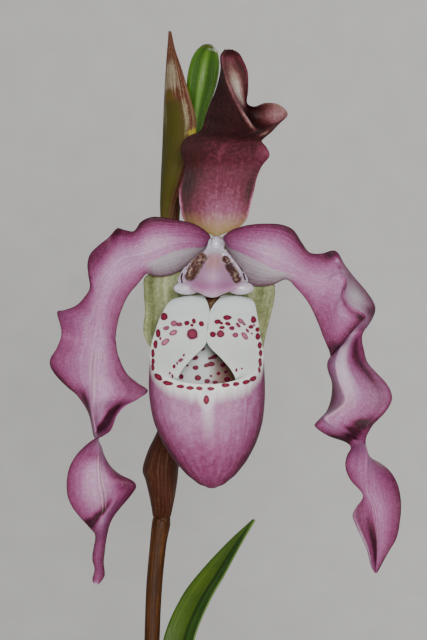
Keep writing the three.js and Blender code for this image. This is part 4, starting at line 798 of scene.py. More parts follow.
def spot_marks(points, place):
    """How near each point of the pouch is to a spot, 1 in its middle and 0.5 at its edge, and
    how faded that spot is."""
    near = np.zeros(len(points))
    faded = np.zeros(len(points))
    x = points[:, 0] + WOBBLE * np.sin(3.1 * points[:, 2] + 1.3 * points[:, 0])
    z = points[:, 2] + WOBBLE * np.sin(2.3 * points[:, 0] - 2.1 * points[:, 2])
    for spots, low, high in SPOT_SETS:
        shows = (place >= low) & (place <= high)
        for spot in spots:
            right, up, wide, tall, tilt, fading = (*spot, 0, 0)[:6]
            lean = math.radians(tilt)
            along = (x - right) * math.cos(lean) + (z - up) * math.sin(lean)
            across = (z - up) * math.cos(lean) - (x - right) * math.sin(lean)
            away = (along / wide) ** 2 + (across / tall) ** 2
            bump = np.where(shows, np.exp(-SPOT_FALL * away), 0)
            faded = np.where(bump > near, fading, faded)
            near = np.maximum(near, bump)
    return near, faded


# ---------------------------------------------------------------- column
KNOB = np.array([-0.3, -7.4, -2])
RIM_WIDTH, SHADOW_LINE_WIDTH = 0.45, 0.22
HOLLOW_DEPTH, RIM_HEIGHT = 1.3, 0.5


def line_distance(x, z, path):
    """How far each point lies from a path, seen from the front."""
    away = np.full(len(x), 1e9)
    for (x0, z0), (x1, z1) in zip(path, path[1:]):
        run = np.array([x1 - x0, z1 - z0])
        share = np.clip(((x - x0) * run[0] + (z - z0) * run[1]) / run.dot(run), 0, 1)
        away = np.minimum(away, np.hypot(x - x0 - share * run[0], z - z0 - share * run[1]))
    return away


def near_lines(x, z, paths, width):
    """1 on any of the paths, falling off over the width."""
    return np.max([np.exp(-(line_distance(x, z, path) / width) ** 2) for path in paths], axis=0)


def hollow_share(x, z):
    """1 inside the hairy hollows, falling to 0 outside them."""
    share = np.zeros(len(x))
    for path, wide in HOLLOWS:
        share = np.maximum(share, np.clip(1.3 - 0.65 * line_distance(x, z, path) / wide, 0, 1))
    return share


def cloud(x, z, middle, reach, power=4):
    """1 round the middle of a patch seen from the front, falling off at its reach."""
    return np.exp(-((x - middle[0]) / reach[0]) ** power - ((z - middle[1]) / reach[1]) ** power)


def column():
    """Hub, knob, shield and shoulders melted into one skin, with the hollows pressed in and their white
    rims raised. Its marks are window, line, pink, ridge, heart and deep, where line marks the painted
    shadow lines."""
    lumps = [stem("hub", HUB, 16, 24), egg("knob", 1.6, 2.3, KNOB), blade("shield", SHIELD, 60, 50, 1.5)]
    for place in SHOULDERS:
        ball = egg("ball", 1, 1)
        ball.data.transform(Matrix.Translation(Vector(place) * MM) @ Matrix.Diagonal((4, 2, 2, 1)))
        lumps.append(ball)
    skin = melt("column_fine", lumps, 0.2, 6)
    points = np.array([v.co for v in skin.data.vertices]) / MM
    front = np.clip(-2 * np.array([v.normal for v in skin.data.vertices])[:, 1], 0, 1)
    x, _, z = points.T
    hollow = hollow_share(x, z)
    pressed = HOLLOW_DEPTH * np.clip(hollow * 2 - 0.9, 0, 1)
    points[:, 1] += front * (pressed - RIM_HEIGHT * near_lines(x, z, RIMS, RIM_WIDTH))
    curved = z - 0.036 * (x + 1.2) ** 2    # the shield's lower edge bends up at both sides
    marks = {
        "window": hollow,
        "line": near_lines(x, z, SHADOW_LINES, SHADOW_LINE_WIDTH),
        "pink": cloud(x, z, (-1.2, -11.6), (7.6, 5.4)),
        "ridge": cloud(x, z, (-1, -7.4), (2.6, 2.8)),
        "heart": 0.6 * cloud(x, z, (-1.4, -12), (3.2, 2.2), 2),
        "deep": np.exp(-((x + 1.2) / 9) ** 4 - ((curved + 15.6) / 2.3) ** 2),
    }
    skin.data.vertices.foreach_set("co", ((points + FLOWER) * MM).ravel())
    add_marks(skin.data, {name: level * front for name, level in marks.items()})
    skin.data.update()
    return skin


# ---------------------------------------------------------------- materials
SOAK = 0.0015                              # how far light soaks into a petal, in metres


def rgb(red, green, blue):
    """A screen colour from 0 to 255 as the linear colour that a shader takes."""
    def linear(n):
        n /= 255
        return n / 12.92 if n < 0.04045 else ((n + 0.055) / 1.055) ** 2.4
    return (linear(red), linear(green), linear(blue), 1.0)


class Finish:
    """A material under construction, with short names for the nodes that it is made of."""

    def __init__(self, name, **sockets):
        self.material = bpy.data.materials.new(name)
        self.material.use_nodes = True
        self.tree = self.material.node_tree
        self.shader = self.tree.nodes["Principled BSDF"]
        for key, value in sockets.items():
            self.shader.inputs[key.replace("_", " ")].default_value = value

    def fill(self, socket, value):
        if isinstance(value, bpy.types.NodeSocket):
            self.tree.links.new(value, socket)
        elif value is not None:
            socket.default_value = value

    def node(self, kind, inputs=(), **settings):
        made = self.tree.nodes.new("ShaderNode" + kind)
        for key, value in settings.items():
            setattr(made, key, value)
        for key, value in dict(inputs).items():
            self.fill(made.inputs[key], value)
        return made

    def mark(self, name):
        """The three numbers of a mesh mark."""
        split = self.node("SeparateXYZ", {0: self.node("Attribute", attribute_name=name).outputs["Vector"]})
        return split.outputs[0], split.outputs[1], split.outputs[2]

    def level(self, name):
        """The one number of a mesh mark."""
        return self.node("Attribute", attribute_name=name).outputs["Fac"]

    def math(self, operation, a, b=None, c=None):
        return self.node("Math", {0: a, 1: b, 2: c}, operation=operation).outputs[0]

    def times(self, a, b):
        return self.math("MULTIPLY", a, b)

    def apart(self, a, b):
        return self.math("ABSOLUTE", self.math("SUBTRACT", a, b))

    def shifted(self, value, *noises):
        """A value, or the mark of that name, moved up and down by each (noise, amount)."""
        if isinstance(value, str):
            value = self.level(value)
        for noise, amount in noises:
            value = self.math("MULTIPLY_ADD", self.math("SUBTRACT", noise, 0.5), amount, value)
        return value

    def vector(self, x, y, z=0.0):
        return self.node("CombineXYZ", {0: x, 1: y, 2: z}).outputs[0]

    def noise(self, where, scale, detail=3.0, rough=0.5, twist=0.0):
        return self.node("TexNoise", {"Vector": where, "Scale": scale, "Detail": detail,
                                      "Roughness": rough, "Distortion": twist}).outputs["Fac"]

    def grain(self, scale, detail=3.0, rough=0.5, twist=0.0):
        """Noise through the solid, of one size all over the plant."""
        return self.noise(self.node("TexCoord").outputs["Object"], scale, detail, rough, twist)

    def veins(self, leaf, fine, long, detail=3.0, rough=0.5, twist=0.0):
        """Noise drawn out along a blade or a stem, given its mark 'leaf'."""
        where = self.vector(self.times(leaf[0], fine), self.times(leaf[1], long), leaf[2])
        return self.noise(where, 1.0, detail, rough, twist)

    def ramp(self, value, *stops, ease=False):
        """Each stop is (position, number) or (position, red, green, blue)."""
        made = self.node("ValToRGB", {0: value})
        made.color_ramp.interpolation = "EASE" if ease else "LINEAR"
        band = made.color_ramp.elements
        while len(band) < len(stops):
            band.new(0.5)
        for element, (position, *tone) in zip(band, stops):
            element.position = position
            element.color = rgb(*tone) if len(tone) == 3 else (*tone * 3, 1)
        return made.outputs[0]

    def mix(self, share, a, b):
        made = self.node("Mix", data_type="RGBA", clamp_factor=True)
        for key, value in (("Factor_Float", share), ("A_Color", a), ("B_Color", b)):
            self.fill(next(s for s in made.inputs if s.identifier == key), value)
        return next(s for s in made.outputs if s.identifier == "Result_Color")

    def done(self, colour, *layers):
        """The material, with its colour and its bumps of (height from 0 to 1, depth in mm)."""
        self.fill(self.shader.inputs["Base Color"], colour)
        normal = None
        for height, depth in layers:
            normal = self.node("Bump", {"Height": height, "Distance": depth * MM, "Strength": 1.0,
                                        "Normal": normal}).outputs[0]
        self.fill(self.shader.inputs["Normal"], normal)
        return self.material


def satin_petal(name, rough=0.48):
    """The soft sheen of petals and sepals."""
    return Finish(name, Roughness=rough, Specular_IOR_Level=0.2, Subsurface_Weight=0.08,
                  Subsurface_Scale=SOAK, Subsurface_Radius=(1.0, 0.5, 0.7))


def petal_finish():
    """Mauve petal: its marks give the tone, from dark magenta to pale lilac, with painted shade in its
    troughs and folds and a few painted highlights, where it is grey-white and where its midvein shows. Fine
    veins and tiny pale cells lie over it all, with painted glints on the pale cells."""
    paint = satin_petal("mauve_petal")
    leaf = paint.mark("leaf")
    streaks = paint.veins(leaf, 30.0, 7.0, 4.0, 0.6, 0.3)
    mottle = paint.grain(700.0, 4.0, 0.7)
    cells = paint.grain(2600.0, 2.0, 0.6)
    tone = paint.shifted("tone", (streaks, 0.3), (mottle, 0.22), (cells, 0.3))
    mauve = paint.ramp(tone, (0.0, 48, 11, 26), (0.16, 92, 29, 60), (0.36, 126, 58, 98),
                       (0.58, 148, 90, 128), (0.8, 172, 132, 160), (1.0, 198, 172, 192))
    pale = paint.ramp(tone, (0.2, 104, 76, 88), (0.5, 158, 144, 152), (0.85, 196, 188, 194))
    colour = paint.mix(paint.shifted("pale", (mottle, 0.2)), mauve, pale)
    # painted glints: tiny white highlights on the cells, stronger where the tone is pale
    painted_glints = paint.times(paint.ramp(cells, (0.6, 0), (0.75, 1)),
                          paint.ramp(tone, (0.2, 0.04), (0.8, 0.26)))
    colour = paint.mix(painted_glints, colour, rgb(222, 200, 222))
    vein = paint.level("vein")
    middle = paint.apart(paint.shifted(leaf[0], (streaks, 0.02)), 0.5)
    dark = paint.times(paint.ramp(middle, (0.003, 0.5), (0.01, 0)), vein)
    light = paint.times(paint.ramp(middle, (0.01, 0), (0.02, 0.4), (0.04, 0)), vein)
    colour = paint.mix(dark, colour, rgb(96, 56, 72))
    colour = paint.mix(light, colour, rgb(196, 188, 170))
    return paint.done(colour, (mottle, 0.1), (streaks, 0.25), (cells, 0.03))


def dorsal_finish():
    """Pale pink and veined below, mottled magenta in the middle, dark red-brown where it leans over, partly
    its own colour and partly painted shade, whitish in the channel up its right side and yellow-green at
    the very foot."""
    paint = satin_petal("dorsal_petal", 0.62)
    leaf = paint.mark("leaf")
    along = leaf[1]
    veins = paint.veins(leaf, 24.0, 2.5, 3.0, 0.55, 0.2)
    mottle = paint.grain(1000.0, 3.0, 0.65)
    # the tone mark carries painted shade where the sepal leans over and in the hollow of its channel
    tone = paint.shifted("tone", (veins, 0.2), (mottle, 0.45))
    rose = paint.ramp(tone, (0.0, 30, 9, 8), (0.2, 58, 19, 22), (0.42, 100, 38, 56),
                      (0.62, 132, 76, 100), (0.82, 164, 122, 140), (1.0, 194, 170, 178))
    pale = paint.ramp(tone, (0.2, 104, 60, 54), (0.55, 162, 138, 124), (0.9, 206, 196, 184))
    colour = paint.mix(paint.shifted("pale", (mottle, 0.2)), rose, pale)
    threads = paint.ramp(paint.veins(leaf, 40.0, 1.0, 2.0, 0.5, 0.1), (0.56, 0), (0.64, 0.55))
    low = paint.ramp(along, (0.03, 1), (0.16, 0.3), (0.3, 0))
    colour = paint.mix(paint.times(threads, low), colour, rgb(112, 44, 66))
    foot = paint.times(paint.ramp(along, (0.0, 1), (0.05, 0.85), (0.12, 0)),
                       paint.ramp(veins, (0.3, 0.6), (0.6, 1)))
    colour = paint.mix(foot, colour, rgb(140, 120, 58))
    return paint.done(colour, (mottle, 0.1), (veins, 0.2))


def sepal_finish():
    """Pale yellow-green with a mealy skin and faint veins."""
    paint = satin_petal("green_sepal", 0.6)
    meal = paint.grain(1300.0, 4.0, 0.7)
    cloudy = paint.grain(220.0, 2.0)
    veins = paint.veins(paint.mark("leaf"), 22.0, 2.0, 2.0)
    tone = paint.shifted(veins, (meal, 0.8), (cloudy, 0.5))
    colour = paint.ramp(tone, (0.2, 86, 92, 50), (0.5, 122, 128, 86), (0.8, 160, 164, 126))
    return paint.done(colour, (meal, 0.2), (veins, 0.2))


def pouch_outside(paint, right, back, place, streaks, mottle, fibres, white):
    """Mauve, with painted shade darkening it at the sides and towards the toe, with a white band under the
    rim and a pale drip down the front."""
    aside = paint.math("ABSOLUTE", right)
    # painted shade: darker where the sides turn away from the light
    side = paint.times(paint.ramp(aside, (0.5, 0), (0.8, 0.4), (0.96, 1)), -0.48)
    # painted shade: darker down towards the toe
    toe = paint.times(paint.ramp(place, (0.0, 1), (0.45, 0.72), (0.78, 0)), -0.46)
    tone = paint.math("ADD", paint.math("ADD", side, toe), 0.68)
    tone = paint.shifted(tone, (streaks, 0.34), (mottle, 0.5), (fibres, 0.3))
    mauve = paint.ramp(tone, (0.0, 70, 12, 38), (0.22, 112, 40, 76), (0.45, 138, 76, 112),
                       (0.65, 156, 106, 138), (0.95, 188, 152, 176))
    front = paint.times(paint.ramp(aside, (0.02, 1), (0.16, 0), ease=True),
                        paint.ramp(back, (0.0, 1), (0.1, 0)))
    below = paint.level("band")
    band = paint.shifted(paint.times(below, 0.17), (streaks, 0.6), (mottle, 0.35))
    band = paint.math("ADD", band, paint.ramp(aside, (0.6, 0), (1.0, 0.35)))
    band = paint.math("MULTIPLY_ADD", front, -0.45, band)
    colour = paint.mix(paint.ramp(band, (0.2, 1), (0.5, 0.65), (0.95, 0)), mauve, white)
    drip = paint.times(front, paint.ramp(paint.times(below, 0.05), (0.2, 0.7), (0.85, 0)))
    return paint.mix(drip, colour, rgb(200, 190, 198))


def pouch_inside(paint, right, back, place, mottle, colour):
    """Painted shade: brown towards the right inside, where the right flap shades it, and olive in the
    throat, the hollow under the column.
    """
    inside = paint.ramp(paint.math("SUBTRACT", place, 2.0), (0.9, 0), (1.0, 1))
    # painted shade: brown where the right flap shades the inside back wall
    shade = paint.times(inside, paint.ramp(right, (0.0, 0), (0.1, 0.75), (0.22, 1)))
    colour = paint.mix(shade, colour, rgb(124, 86, 68))
    # painted shade: dark olive-brown in the notch and throat, the hollow under the column
    over = paint.ramp(paint.times(place, 0.5), (0.49, 0), (0.51, 1))
    notch = paint.math("MAXIMUM", paint.times(inside, paint.ramp(back, (0.4, 0), (0.7, 1))),
                       paint.times(over, paint.ramp(back, (0.975, 0), (0.99, 1))))
    below = paint.times(paint.level("band"), 0.1)
    throat = paint.times(notch, paint.ramp(below, (0.55, 1), (0.95, 0)))
    return paint.mix(throat, colour, paint.ramp(mottle, (0.44, 70, 24, 14), (0.54, 104, 80, 42)))


def pouch_spots(paint, mottle, fibres, colour):
    """Wine spots with a pink fringe; the faded ones have a pale heart."""
    spots = paint.shifted("spots", (mottle, 0.08), (fibres, 0.08))
    colour = paint.mix(paint.ramp(spots, (0.3, 0), (0.45, 0.5)), colour, rgb(196, 124, 146))
    wine = paint.mix(paint.ramp(spots, (0.58, 0), (0.9, 1)), rgb(74, 10, 34), rgb(128, 28, 54))
    faded = paint.level("faded")
    wine = paint.mix(paint.times(faded, 0.45), wine, rgb(150, 84, 108))
    heart = paint.times(paint.ramp(faded, (0.2, 0), (0.7, 1)), paint.ramp(spots, (0.56, 0), (0.8, 0.9)))
    wine = paint.mix(heart, wine, rgb(184, 116, 138))
    return paint.mix(paint.ramp(spots, (0.45, 0), (0.53, 1)), colour, wine)


def pouch_finish():
    """A mauve outside with painted shade at its sides and toe, white flaps, an inside with painted shade
    that browns it to the right and darkens the throat, and wine spots.
    """
    paint = Finish("pouch_wax", Roughness=0.5, Specular_IOR_Level=0.15, Subsurface_Weight=0.1,
                   Subsurface_Scale=SOAK, Subsurface_Radius=(1.0, 0.6, 0.7))
    right, back, place = paint.mark("skin")
    streaks = paint.noise(paint.vector(right, back, paint.times(place, 0.3)), 12.0, 5.0, 0.62, 0.25)
    mottle = paint.grain(520.0, 4.0, 0.7)
    fibres = paint.grain(1500.0, 3.0, 0.6, 0.6)
    white = rgb(216, 220, 212)
    outside = pouch_outside(paint, right, back, place, streaks, mottle, fibres, white)
    flap = paint.mix(paint.ramp(mottle, (0.35, 0.3), (0.65, 0)), white, rgb(200, 208, 196))
    flap = paint.mix(paint.ramp(back, (0.2, 0), (0.8, 0.4)), flap, rgb(176, 188, 196))
    colour = paint.mix(paint.ramp(place, (0.98, 0), (1.0, 1)), outside, flap)
    colour = pouch_inside(paint, right, back, place, mottle, colour)
    colour = pouch_spots(paint, mottle, fibres, colour)
    grooves = paint.times(streaks, paint.ramp(place, (0.8, 1), (1.0, 0)))
    crinkle = paint.times(paint.grain(340.0, 3.0, 0.6, 1.2), paint.ramp(place, (0.1, 1), (0.4, 0)))
    return paint.done(colour, (mottle, 0.14), (grooves, 0.35), (crinkle, 0.9), (fibres, 0.08))


def column_finish():
    """White wax, pink over the shield, with dark hairy hollows and fine dark lines by them, painted shadow
    lines along the column's edge.
    """
    paint = Finish("column_wax", Specular_IOR_Level=0.7, Subsurface_Weight=0.12, Subsurface_Scale=SOAK)
    mottle = paint.grain(900.0)
    pink = paint.mix(mottle, rgb(140, 86, 122), rgb(166, 120, 150))
    colour = paint.mix(paint.shifted("pink", (mottle, 0.3)), rgb(188, 182, 194), pink)
    colour = paint.mix(paint.shifted("ridge", (mottle, 0.3)), colour, rgb(168, 122, 126))
    colour = paint.mix(paint.shifted("heart", (mottle, 0.3)), colour, rgb(196, 166, 188))
    deep = paint.shifted(paint.times(paint.level("deep"), 0.8), (mottle, 0.4))
    colour = paint.mix(deep, colour, rgb(138, 70, 118))
    hairs = paint.grain(640.0, 3.0, 0.6, 0.5)
    patch = paint.ramp(hairs, (0.44, 48, 10, 14), (0.52, 92, 52, 42), (0.64, 146, 132, 114))
    window = paint.ramp(paint.shifted("window", (hairs, 1.6)), (0.42, 0), (0.66, 1))
    colour = paint.mix(window, colour, patch)
    # painted shadow lines along the column's edge, outside the white rims
    line = paint.ramp(paint.shifted("line", (mottle, 0.6)), (0.3, 0), (0.45, 1))
    colour = paint.mix(line, colour, rgb(48, 10, 22))
    gloss = paint.ramp(paint.level("pink"), (0.1, 0.17), (0.4, 0.6))
    paint.fill(paint.shader.inputs["Roughness"], gloss)
    return paint.done(colour, (paint.times(hairs, window), 0.5), (mottle, 0.05))


def streaked_finish(name, stops, roughness=0.55, fine=30.0, long=3.0, depth=0.3, patches=()):
    """A skin with lengthwise streaks through the given colours. Patches are (mark, colour)."""
    paint = Finish(name, Roughness=roughness, Specular_IOR_Level=0.14)
    streaks = paint.veins(paint.mark("leaf"), fine, long, 5.0, 0.65, 0.3)
    grain = paint.grain(1100.0, 3.0, 0.6)
    colour = paint.ramp(paint.shifted(streaks, (grain, 0.3)), *stops)
    for mark, tint in patches:
        amount = paint.ramp(paint.shifted(mark, (streaks, 1.6), (grain, 0.4)), (0.35, 0), (0.75, 1))
        colour = paint.mix(amount, colour, tint)
    return paint.done(colour, (grain, 0.1), (streaks, depth))


def bud_finish():
    """Waxy green with paler ribs, fine veins and an olive tip."""
    paint = Finish("green_bud", Roughness=0.4, Specular_IOR_Level=0.3, Subsurface_Weight=0.1,
                   Subsurface_Scale=SOAK)
    turn, along, rib = paint.mark("leaf")
    veins = paint.veins((turn, along, 0.0), 34.0, 2.5, 3.0, 0.6)
    grain = paint.grain(900.0, 3.0, 0.6)
    tone = paint.shifted(paint.math("MULTIPLY_ADD", rib, 0.4, 0.22), (veins, 0.6), (grain, 0.3))
    colour = paint.ramp(tone, (0.0, 34, 64, 10), (0.45, 62, 98, 20), (0.8, 94, 128, 40),
                        (1.0, 140, 162, 80))
    tip = paint.times(paint.ramp(along, (0.8, 0), (0.97, 1)), paint.ramp(veins, (0.3, 0.5), (0.6, 1)))
    colour = paint.mix(tip, colour, rgb(84, 74, 24))
    return paint.done(colour, (grain, 0.08), (veins, 0.2))


def leaf_finish():
    """Strap leaf: dark green, partly its own colour and partly painted shade, yellower on its right half,
    with painted shade in its keel groove, and fine veins.
    """
    paint = Finish("leaf_skin", Roughness=0.42, Specular_IOR_Level=0.3)
    across, along, face = paint.mark("leaf")
    veins = paint.veins((across, along, face), 60.0, 3.0, 3.0, 0.6)
    tone = paint.shifted(veins, (paint.grain(45.0, 3.0, 0.6), 0.7))
    # painted shade: these greens are darkened beyond the leaf's own green
    green = paint.ramp(tone, (0.2, 26, 56, 10), (0.5, 44, 80, 16), (0.8, 72, 106, 28))
    yellow = paint.ramp(tone, (0.2, 44, 62, 10), (0.5, 66, 88, 16), (0.8, 94, 114, 28))
    green = paint.mix(paint.ramp(across, (0.46, 0), (0.54, 0.7)), green, yellow)
    under = paint.ramp(tone, (0.2, 76, 108, 38), (0.8, 130, 158, 72))
    colour = paint.mix(face, under, green)
    # painted shade: dark down the keel groove
    keel = paint.ramp(paint.apart(across, 0.5), (0.03, 0.75), (0.09, 0))
    colour = paint.mix(keel, colour, rgb(22, 44, 10))
    foot = paint.ramp(along, (0.0, 0.7), (0.12, 0))
    colour = paint.mix(foot, colour, rgb(158, 168, 96))
    return paint.done(colour, (veins, 0.25))


def grain_finish(name, stops, scale, roughness, depth):
    """A rough skin through the given colours, from noise of one size."""
    paint = Finish(name, Roughness=roughness)
    coarse = paint.grain(scale, 6.0, 0.65, 0.4)
    fine = paint.grain(scale * 7, 3.0, 0.6)
    colour = paint.ramp(paint.shifted(coarse, (fine, 0.4)), *stops)
    return paint.done(colour, (fine, depth * 0.4), (coarse, depth))


def bark_finish():
    """Brown chips, each with a tint of its own."""
    paint = Finish("bark", Roughness=0.9)
    coarse = paint.grain(260.0, 6.0, 0.7, 0.5)
    fine = paint.grain(1600.0, 4.0, 0.6)
    tone = paint.math("MULTIPLY_ADD", coarse, 0.5, paint.times(paint.level("tint"), 0.5))
    colour = paint.ramp(tone, (0.1, 36, 22, 14), (0.4, 84, 52, 32), (0.65, 122, 80, 50),
                        (0.9, 150, 108, 72))
    return paint.done(colour, (fine, 0.3), (coarse, 1.2))


# ---------------------------------------------------------------- leaves
FAN_TURN = math.radians(40)                # the fan's plane, turned from the x axis
FOOT = 95.6
UP = np.array([0.0, 0, 1])
LEAF_BOW = 0.12                            # each half bulges by this share of its width
LOOK_AHEAD = 0.02                          # share of a keel over which its direction is taken
# (node, side of the fan, half width, swing of the tip, keel points as distance out and height)
LEAVES = [
    ("leaf_flower_side", 1, 8, 0,
     [[5.5, FOOT], [6, 140], [7.5, 190], [10, 235], [17, 273.6], [30, 293], [45.8, 310.4]]),
    ("leaf_right_2", 1, 17, -16,
     [[9, FOOT], [12, 140], [22, 186], [48, 226], [90, 246], [135, 247], [172, 233]]),
    ("leaf_right_3", 1, 18, 20,
     [[12.5, FOOT + 0.3], [18, 130], [36, 170], [70, 202], [115, 218], [158, 212], [196, 190]]),
    ("leaf_right_4", 1, 15, -10,
     [[16, FOOT + 0.5], [26, 118], [52, 142], [92, 156], [135, 152], [172, 134]]),
    ("leaf_left_1", -1, 16, 18,
     [[5.5, FOOT], [8, 140], [16, 190], [38, 236], [76, 260], [118, 257], [152, 238]]),
    ("leaf_left_2", -1, 18, -14,
     [[9, FOOT], [14, 135], [28, 180], [60, 216], [105, 234], [150, 226], [186, 202]]),
    ("leaf_left_3", -1, 17, 24,
     [[12.5, FOOT + 0.3], [20, 125], [42, 160], [80, 186], [125, 194], [168, 180], [198, 156]]),
    ("leaf_left_4", -1, 14, -20,
     [[16, FOOT + 0.6], [28, 115], [56, 132], [95, 140], [130, 133], [158, 114]]),
]
# Along a leaf: [share of the full half width, fold in degrees].
LEAF_FORM = [[0.72, 10], [0.8, 18], [0.92, 24], [1, 24], [0.98, 22], [0.78, 22], [0.06, 26]]


def leaf_stations(side, width, swing, keel, count=12):
    """Stations of one strap leaf, folded along its keel."""
    out = np.array([math.cos(FAN_TURN), math.sin(FAN_TURN), 0]) * side
    flank = np.cross(UP, out)
    stations = []
    for i in range(count + 1):
        t = i / count
        r, z = sample(keel, t)[0]
        ahead = sample(keel, t + LOOK_AHEAD)[0] - sample(keel, t - LOOK_AHEAD)[0]
        facing = np.cross(unit(out * ahead[0] + UP * ahead[1]), flank)
        if facing.dot(UP - out) < 0:
            facing = -facing
        share, fold = sample(LEAF_FORM, t)[0]
        fold = math.radians(fold)
        spread = flank * share * width * math.cos(fold)
        lift = facing * share * width * math.sin(fold)
        mid = out * r + UP * z + flank * swing * t * t
        bow = facing * -LEAF_BOW * share * width
        stations.append([mid, mid - spread + lift, mid + spread + lift, bow, bow])
    return stations


# ---------------------------------------------------------------- potting mix and pot
POT_HEIGHT, POT_TOP, POT_BOTTOM = 110.0, 60.0, 44.0
POT_WALL, POT_FLOOR, POT_RIM, POT_LIP = 2.2, 3.0, 9.0, 2.0
ROUNDING, FOOT_CHAMFER = 0.9, 1.5          # the pot's corners, and the edge of its foot
HOLES, HOLE_RADIUS, HOLES_OUT = 6, 4.5, 27
DRILL_FROM, DRILL_TO = -4, 8               # heights between which a hole is cut
GAP = 0.35                                 # between the mix and the pot
PIT = 20.6                                 # radius of the hole that the leaf bases stand in
MIX_TOP = 97.0
# The layers of chips: (lowest and highest middle of a chip, count).
CHIP_LAYERS = [(MIX_TOP - 2.6, MIX_TOP - 1.4, 190), (MIX_TOP - 0.9, MIX_TOP + 0.8, 120)]
CHIP_SMALL, CHIP_LARGE = [6, 4, 2.6], [14, 8, 4.8]
CHIP_TILT, CHIP_ROLL = 0.35, 0.3           # at most, in radians
CHIP_ROUGHNESS = 0.09
CHIP_FROM_PIT, CHIP_FROM_POT = 7, 6.5      # from a chip's middle
CLEAR = 0.2                                # kept between a chip's surface and the pit or pot
POT_MEASURED = 95                          # height at which the pot's wall bounds the chips


def pot_radius(z):
    return POT_BOTTOM + (POT_TOP - POT_BOTTOM) * z / POT_HEIGHT


def mix_radius(z):
    return pot_radius(z) - POT_WALL - GAP


def rounded(profile, radius, steps=5):
    """The profile with its inner corners rounded."""
    soft = [profile[0]]
    for before, corner, after in zip(profile, profile[1:], profile[2:]):
        a, b, c = (np.array(p, float) for p in (before, corner, after))
        cut = min(radius, 0.45 * np.linalg.norm(a - b), 0.45 * np.linalg.norm(c - b))
        start = b + unit(a - b) * cut
        end = b + unit(c - b) * cut
        for k in np.linspace(0, 1, steps):
            soft.append((1 - k) ** 2 * start + 2 * k * (1 - k) * b + k * k * end)
    return soft + [profile[-1]]


def pot():
    """A tapered pot with a rim band and drainage holes."""
    rim = POT_HEIGHT - POT_RIM
    lip = POT_TOP + POT_LIP
    shell = turned("pot_fine", rounded([
        (0, 0), (POT_BOTTOM - FOOT_CHAMFER, 0), (POT_BOTTOM, FOOT_CHAMFER), (pot_radius(rim), rim),
        (lip, rim),
        (lip, POT_HEIGHT), (POT_TOP - POT_WALL, POT_HEIGHT),
        (pot_radius(POT_FLOOR) - POT_WALL, POT_FLOOR), (0, POT_FLOOR)], ROUNDING), 144)
    for x, y in circle(HOLES_OUT, 0, HOLES)[:, :2]:
        drill = turned("drill", [(0, DRILL_FROM), (HOLE_RADIUS, DRILL_FROM), (HOLE_RADIUS, DRILL_TO),
                                 (0, DRILL_TO)], 32, np.array([x, y, 0]))
        cut = shell.modifiers.new("drain", "BOOLEAN")
        cut.operation = "DIFFERENCE"
        cut.solver = "EXACT"
        cut.object = drill
        apply_all(shell)
        bpy.data.objects.remove(drill)
    split = shell.modifiers.new("split", "EDGE_SPLIT")
    split.split_angle = math.radians(50)
    apply_all(shell)
    return smooth(shell)


def round_cube():
    """A cube with its corners rounded, and the plain cube that it comes from."""
    chip = bmesh.new()
    bmesh.ops.create_cube(chip, size=1.0)
    bmesh.ops.subdivide_edges(chip, edges=chip.edges[:], cuts=3, use_grid_fill=True)
    cube = np.array([v.co for v in chip.verts])
    faces = [[v.index for v in f.verts] for f in chip.faces]
    chip.free()
    return cube / np.power((np.abs(cube * 2) ** 6).sum(axis=1), 1 / 6)[:, None], cube, faces


def bark_chip(draw, form, cube, low, high):
    """One chip, tilted a little and placed at random between the pit and the pot's wall."""
    size = draw.uniform(CHIP_SMALL, CHIP_LARGE)
    rough = np.sin(cube @ draw.uniform(3, 9, (3, 3)) + draw.uniform(0, 6, 3))
    chip = form * size * (1 + CHIP_ROUGHNESS * rough)
    spin = Euler((draw.uniform(-CHIP_TILT, CHIP_TILT), draw.uniform(-CHIP_ROLL, CHIP_ROLL),
                  draw.uniform(0, 6.3)))
    chip = chip @ np.array(spin.to_matrix()).T
    nearest = PIT + CHIP_FROM_PIT
    furthest = mix_radius(MIX_TOP) - CHIP_FROM_POT
    radius = math.sqrt(draw.uniform(nearest ** 2, furthest ** 2))
    angle = draw.uniform(0, 2 * math.pi)
    chip = chip + [radius * math.cos(angle), radius * math.sin(angle), draw.uniform(low, high)]
    distance = np.hypot(chip[:, 0], chip[:, 1])
    allowed = np.clip(distance, PIT + CLEAR, mix_radius(POT_MEASURED) - CLEAR)
    chip[:, :2] *= (allowed / distance)[:, None]
    return chip


def potting_mix():
    """Bark chips heaped on a body that fills the pot round the pit. Its mark is 'tint'."""
    draw = np.random.default_rng(11)
    floor = POT_FLOOR + GAP
    shoulder = MIX_TOP - 4
    profile = [(PIT, 90), (PIT, MIX_TOP - 1), (34, MIX_TOP - 1.5), (mix_radius(shoulder), shoulder),
               (mix_radius(floor), floor), (12, floor), (12, 60), (PIT, 72)]
    sides = 96
    rings = len(profile)
    points = [circle(radius, z, sides) for radius, z in profile]
    faces = []
    for i in range(rings):
        faces += belt(i * sides, (i + 1) % rings * sides, sides)
    tint = [np.zeros(rings * sides)]
    base = rings * sides
    form, cube, cube_faces = round_cube()
    for low, high, count in CHIP_LAYERS:
        for _ in range(count):
            points.append(bark_chip(draw, form, cube, low, high))
            faces += [[base + k for k in face] for face in cube_faces]
            tint.append(np.full(len(cube), draw.uniform(0.1, 1)))
            base += len(cube)
    return mesh_piece("potting_mix_fine", np.concatenate(points), faces,
                      marks={"tint": np.concatenate(tint)})


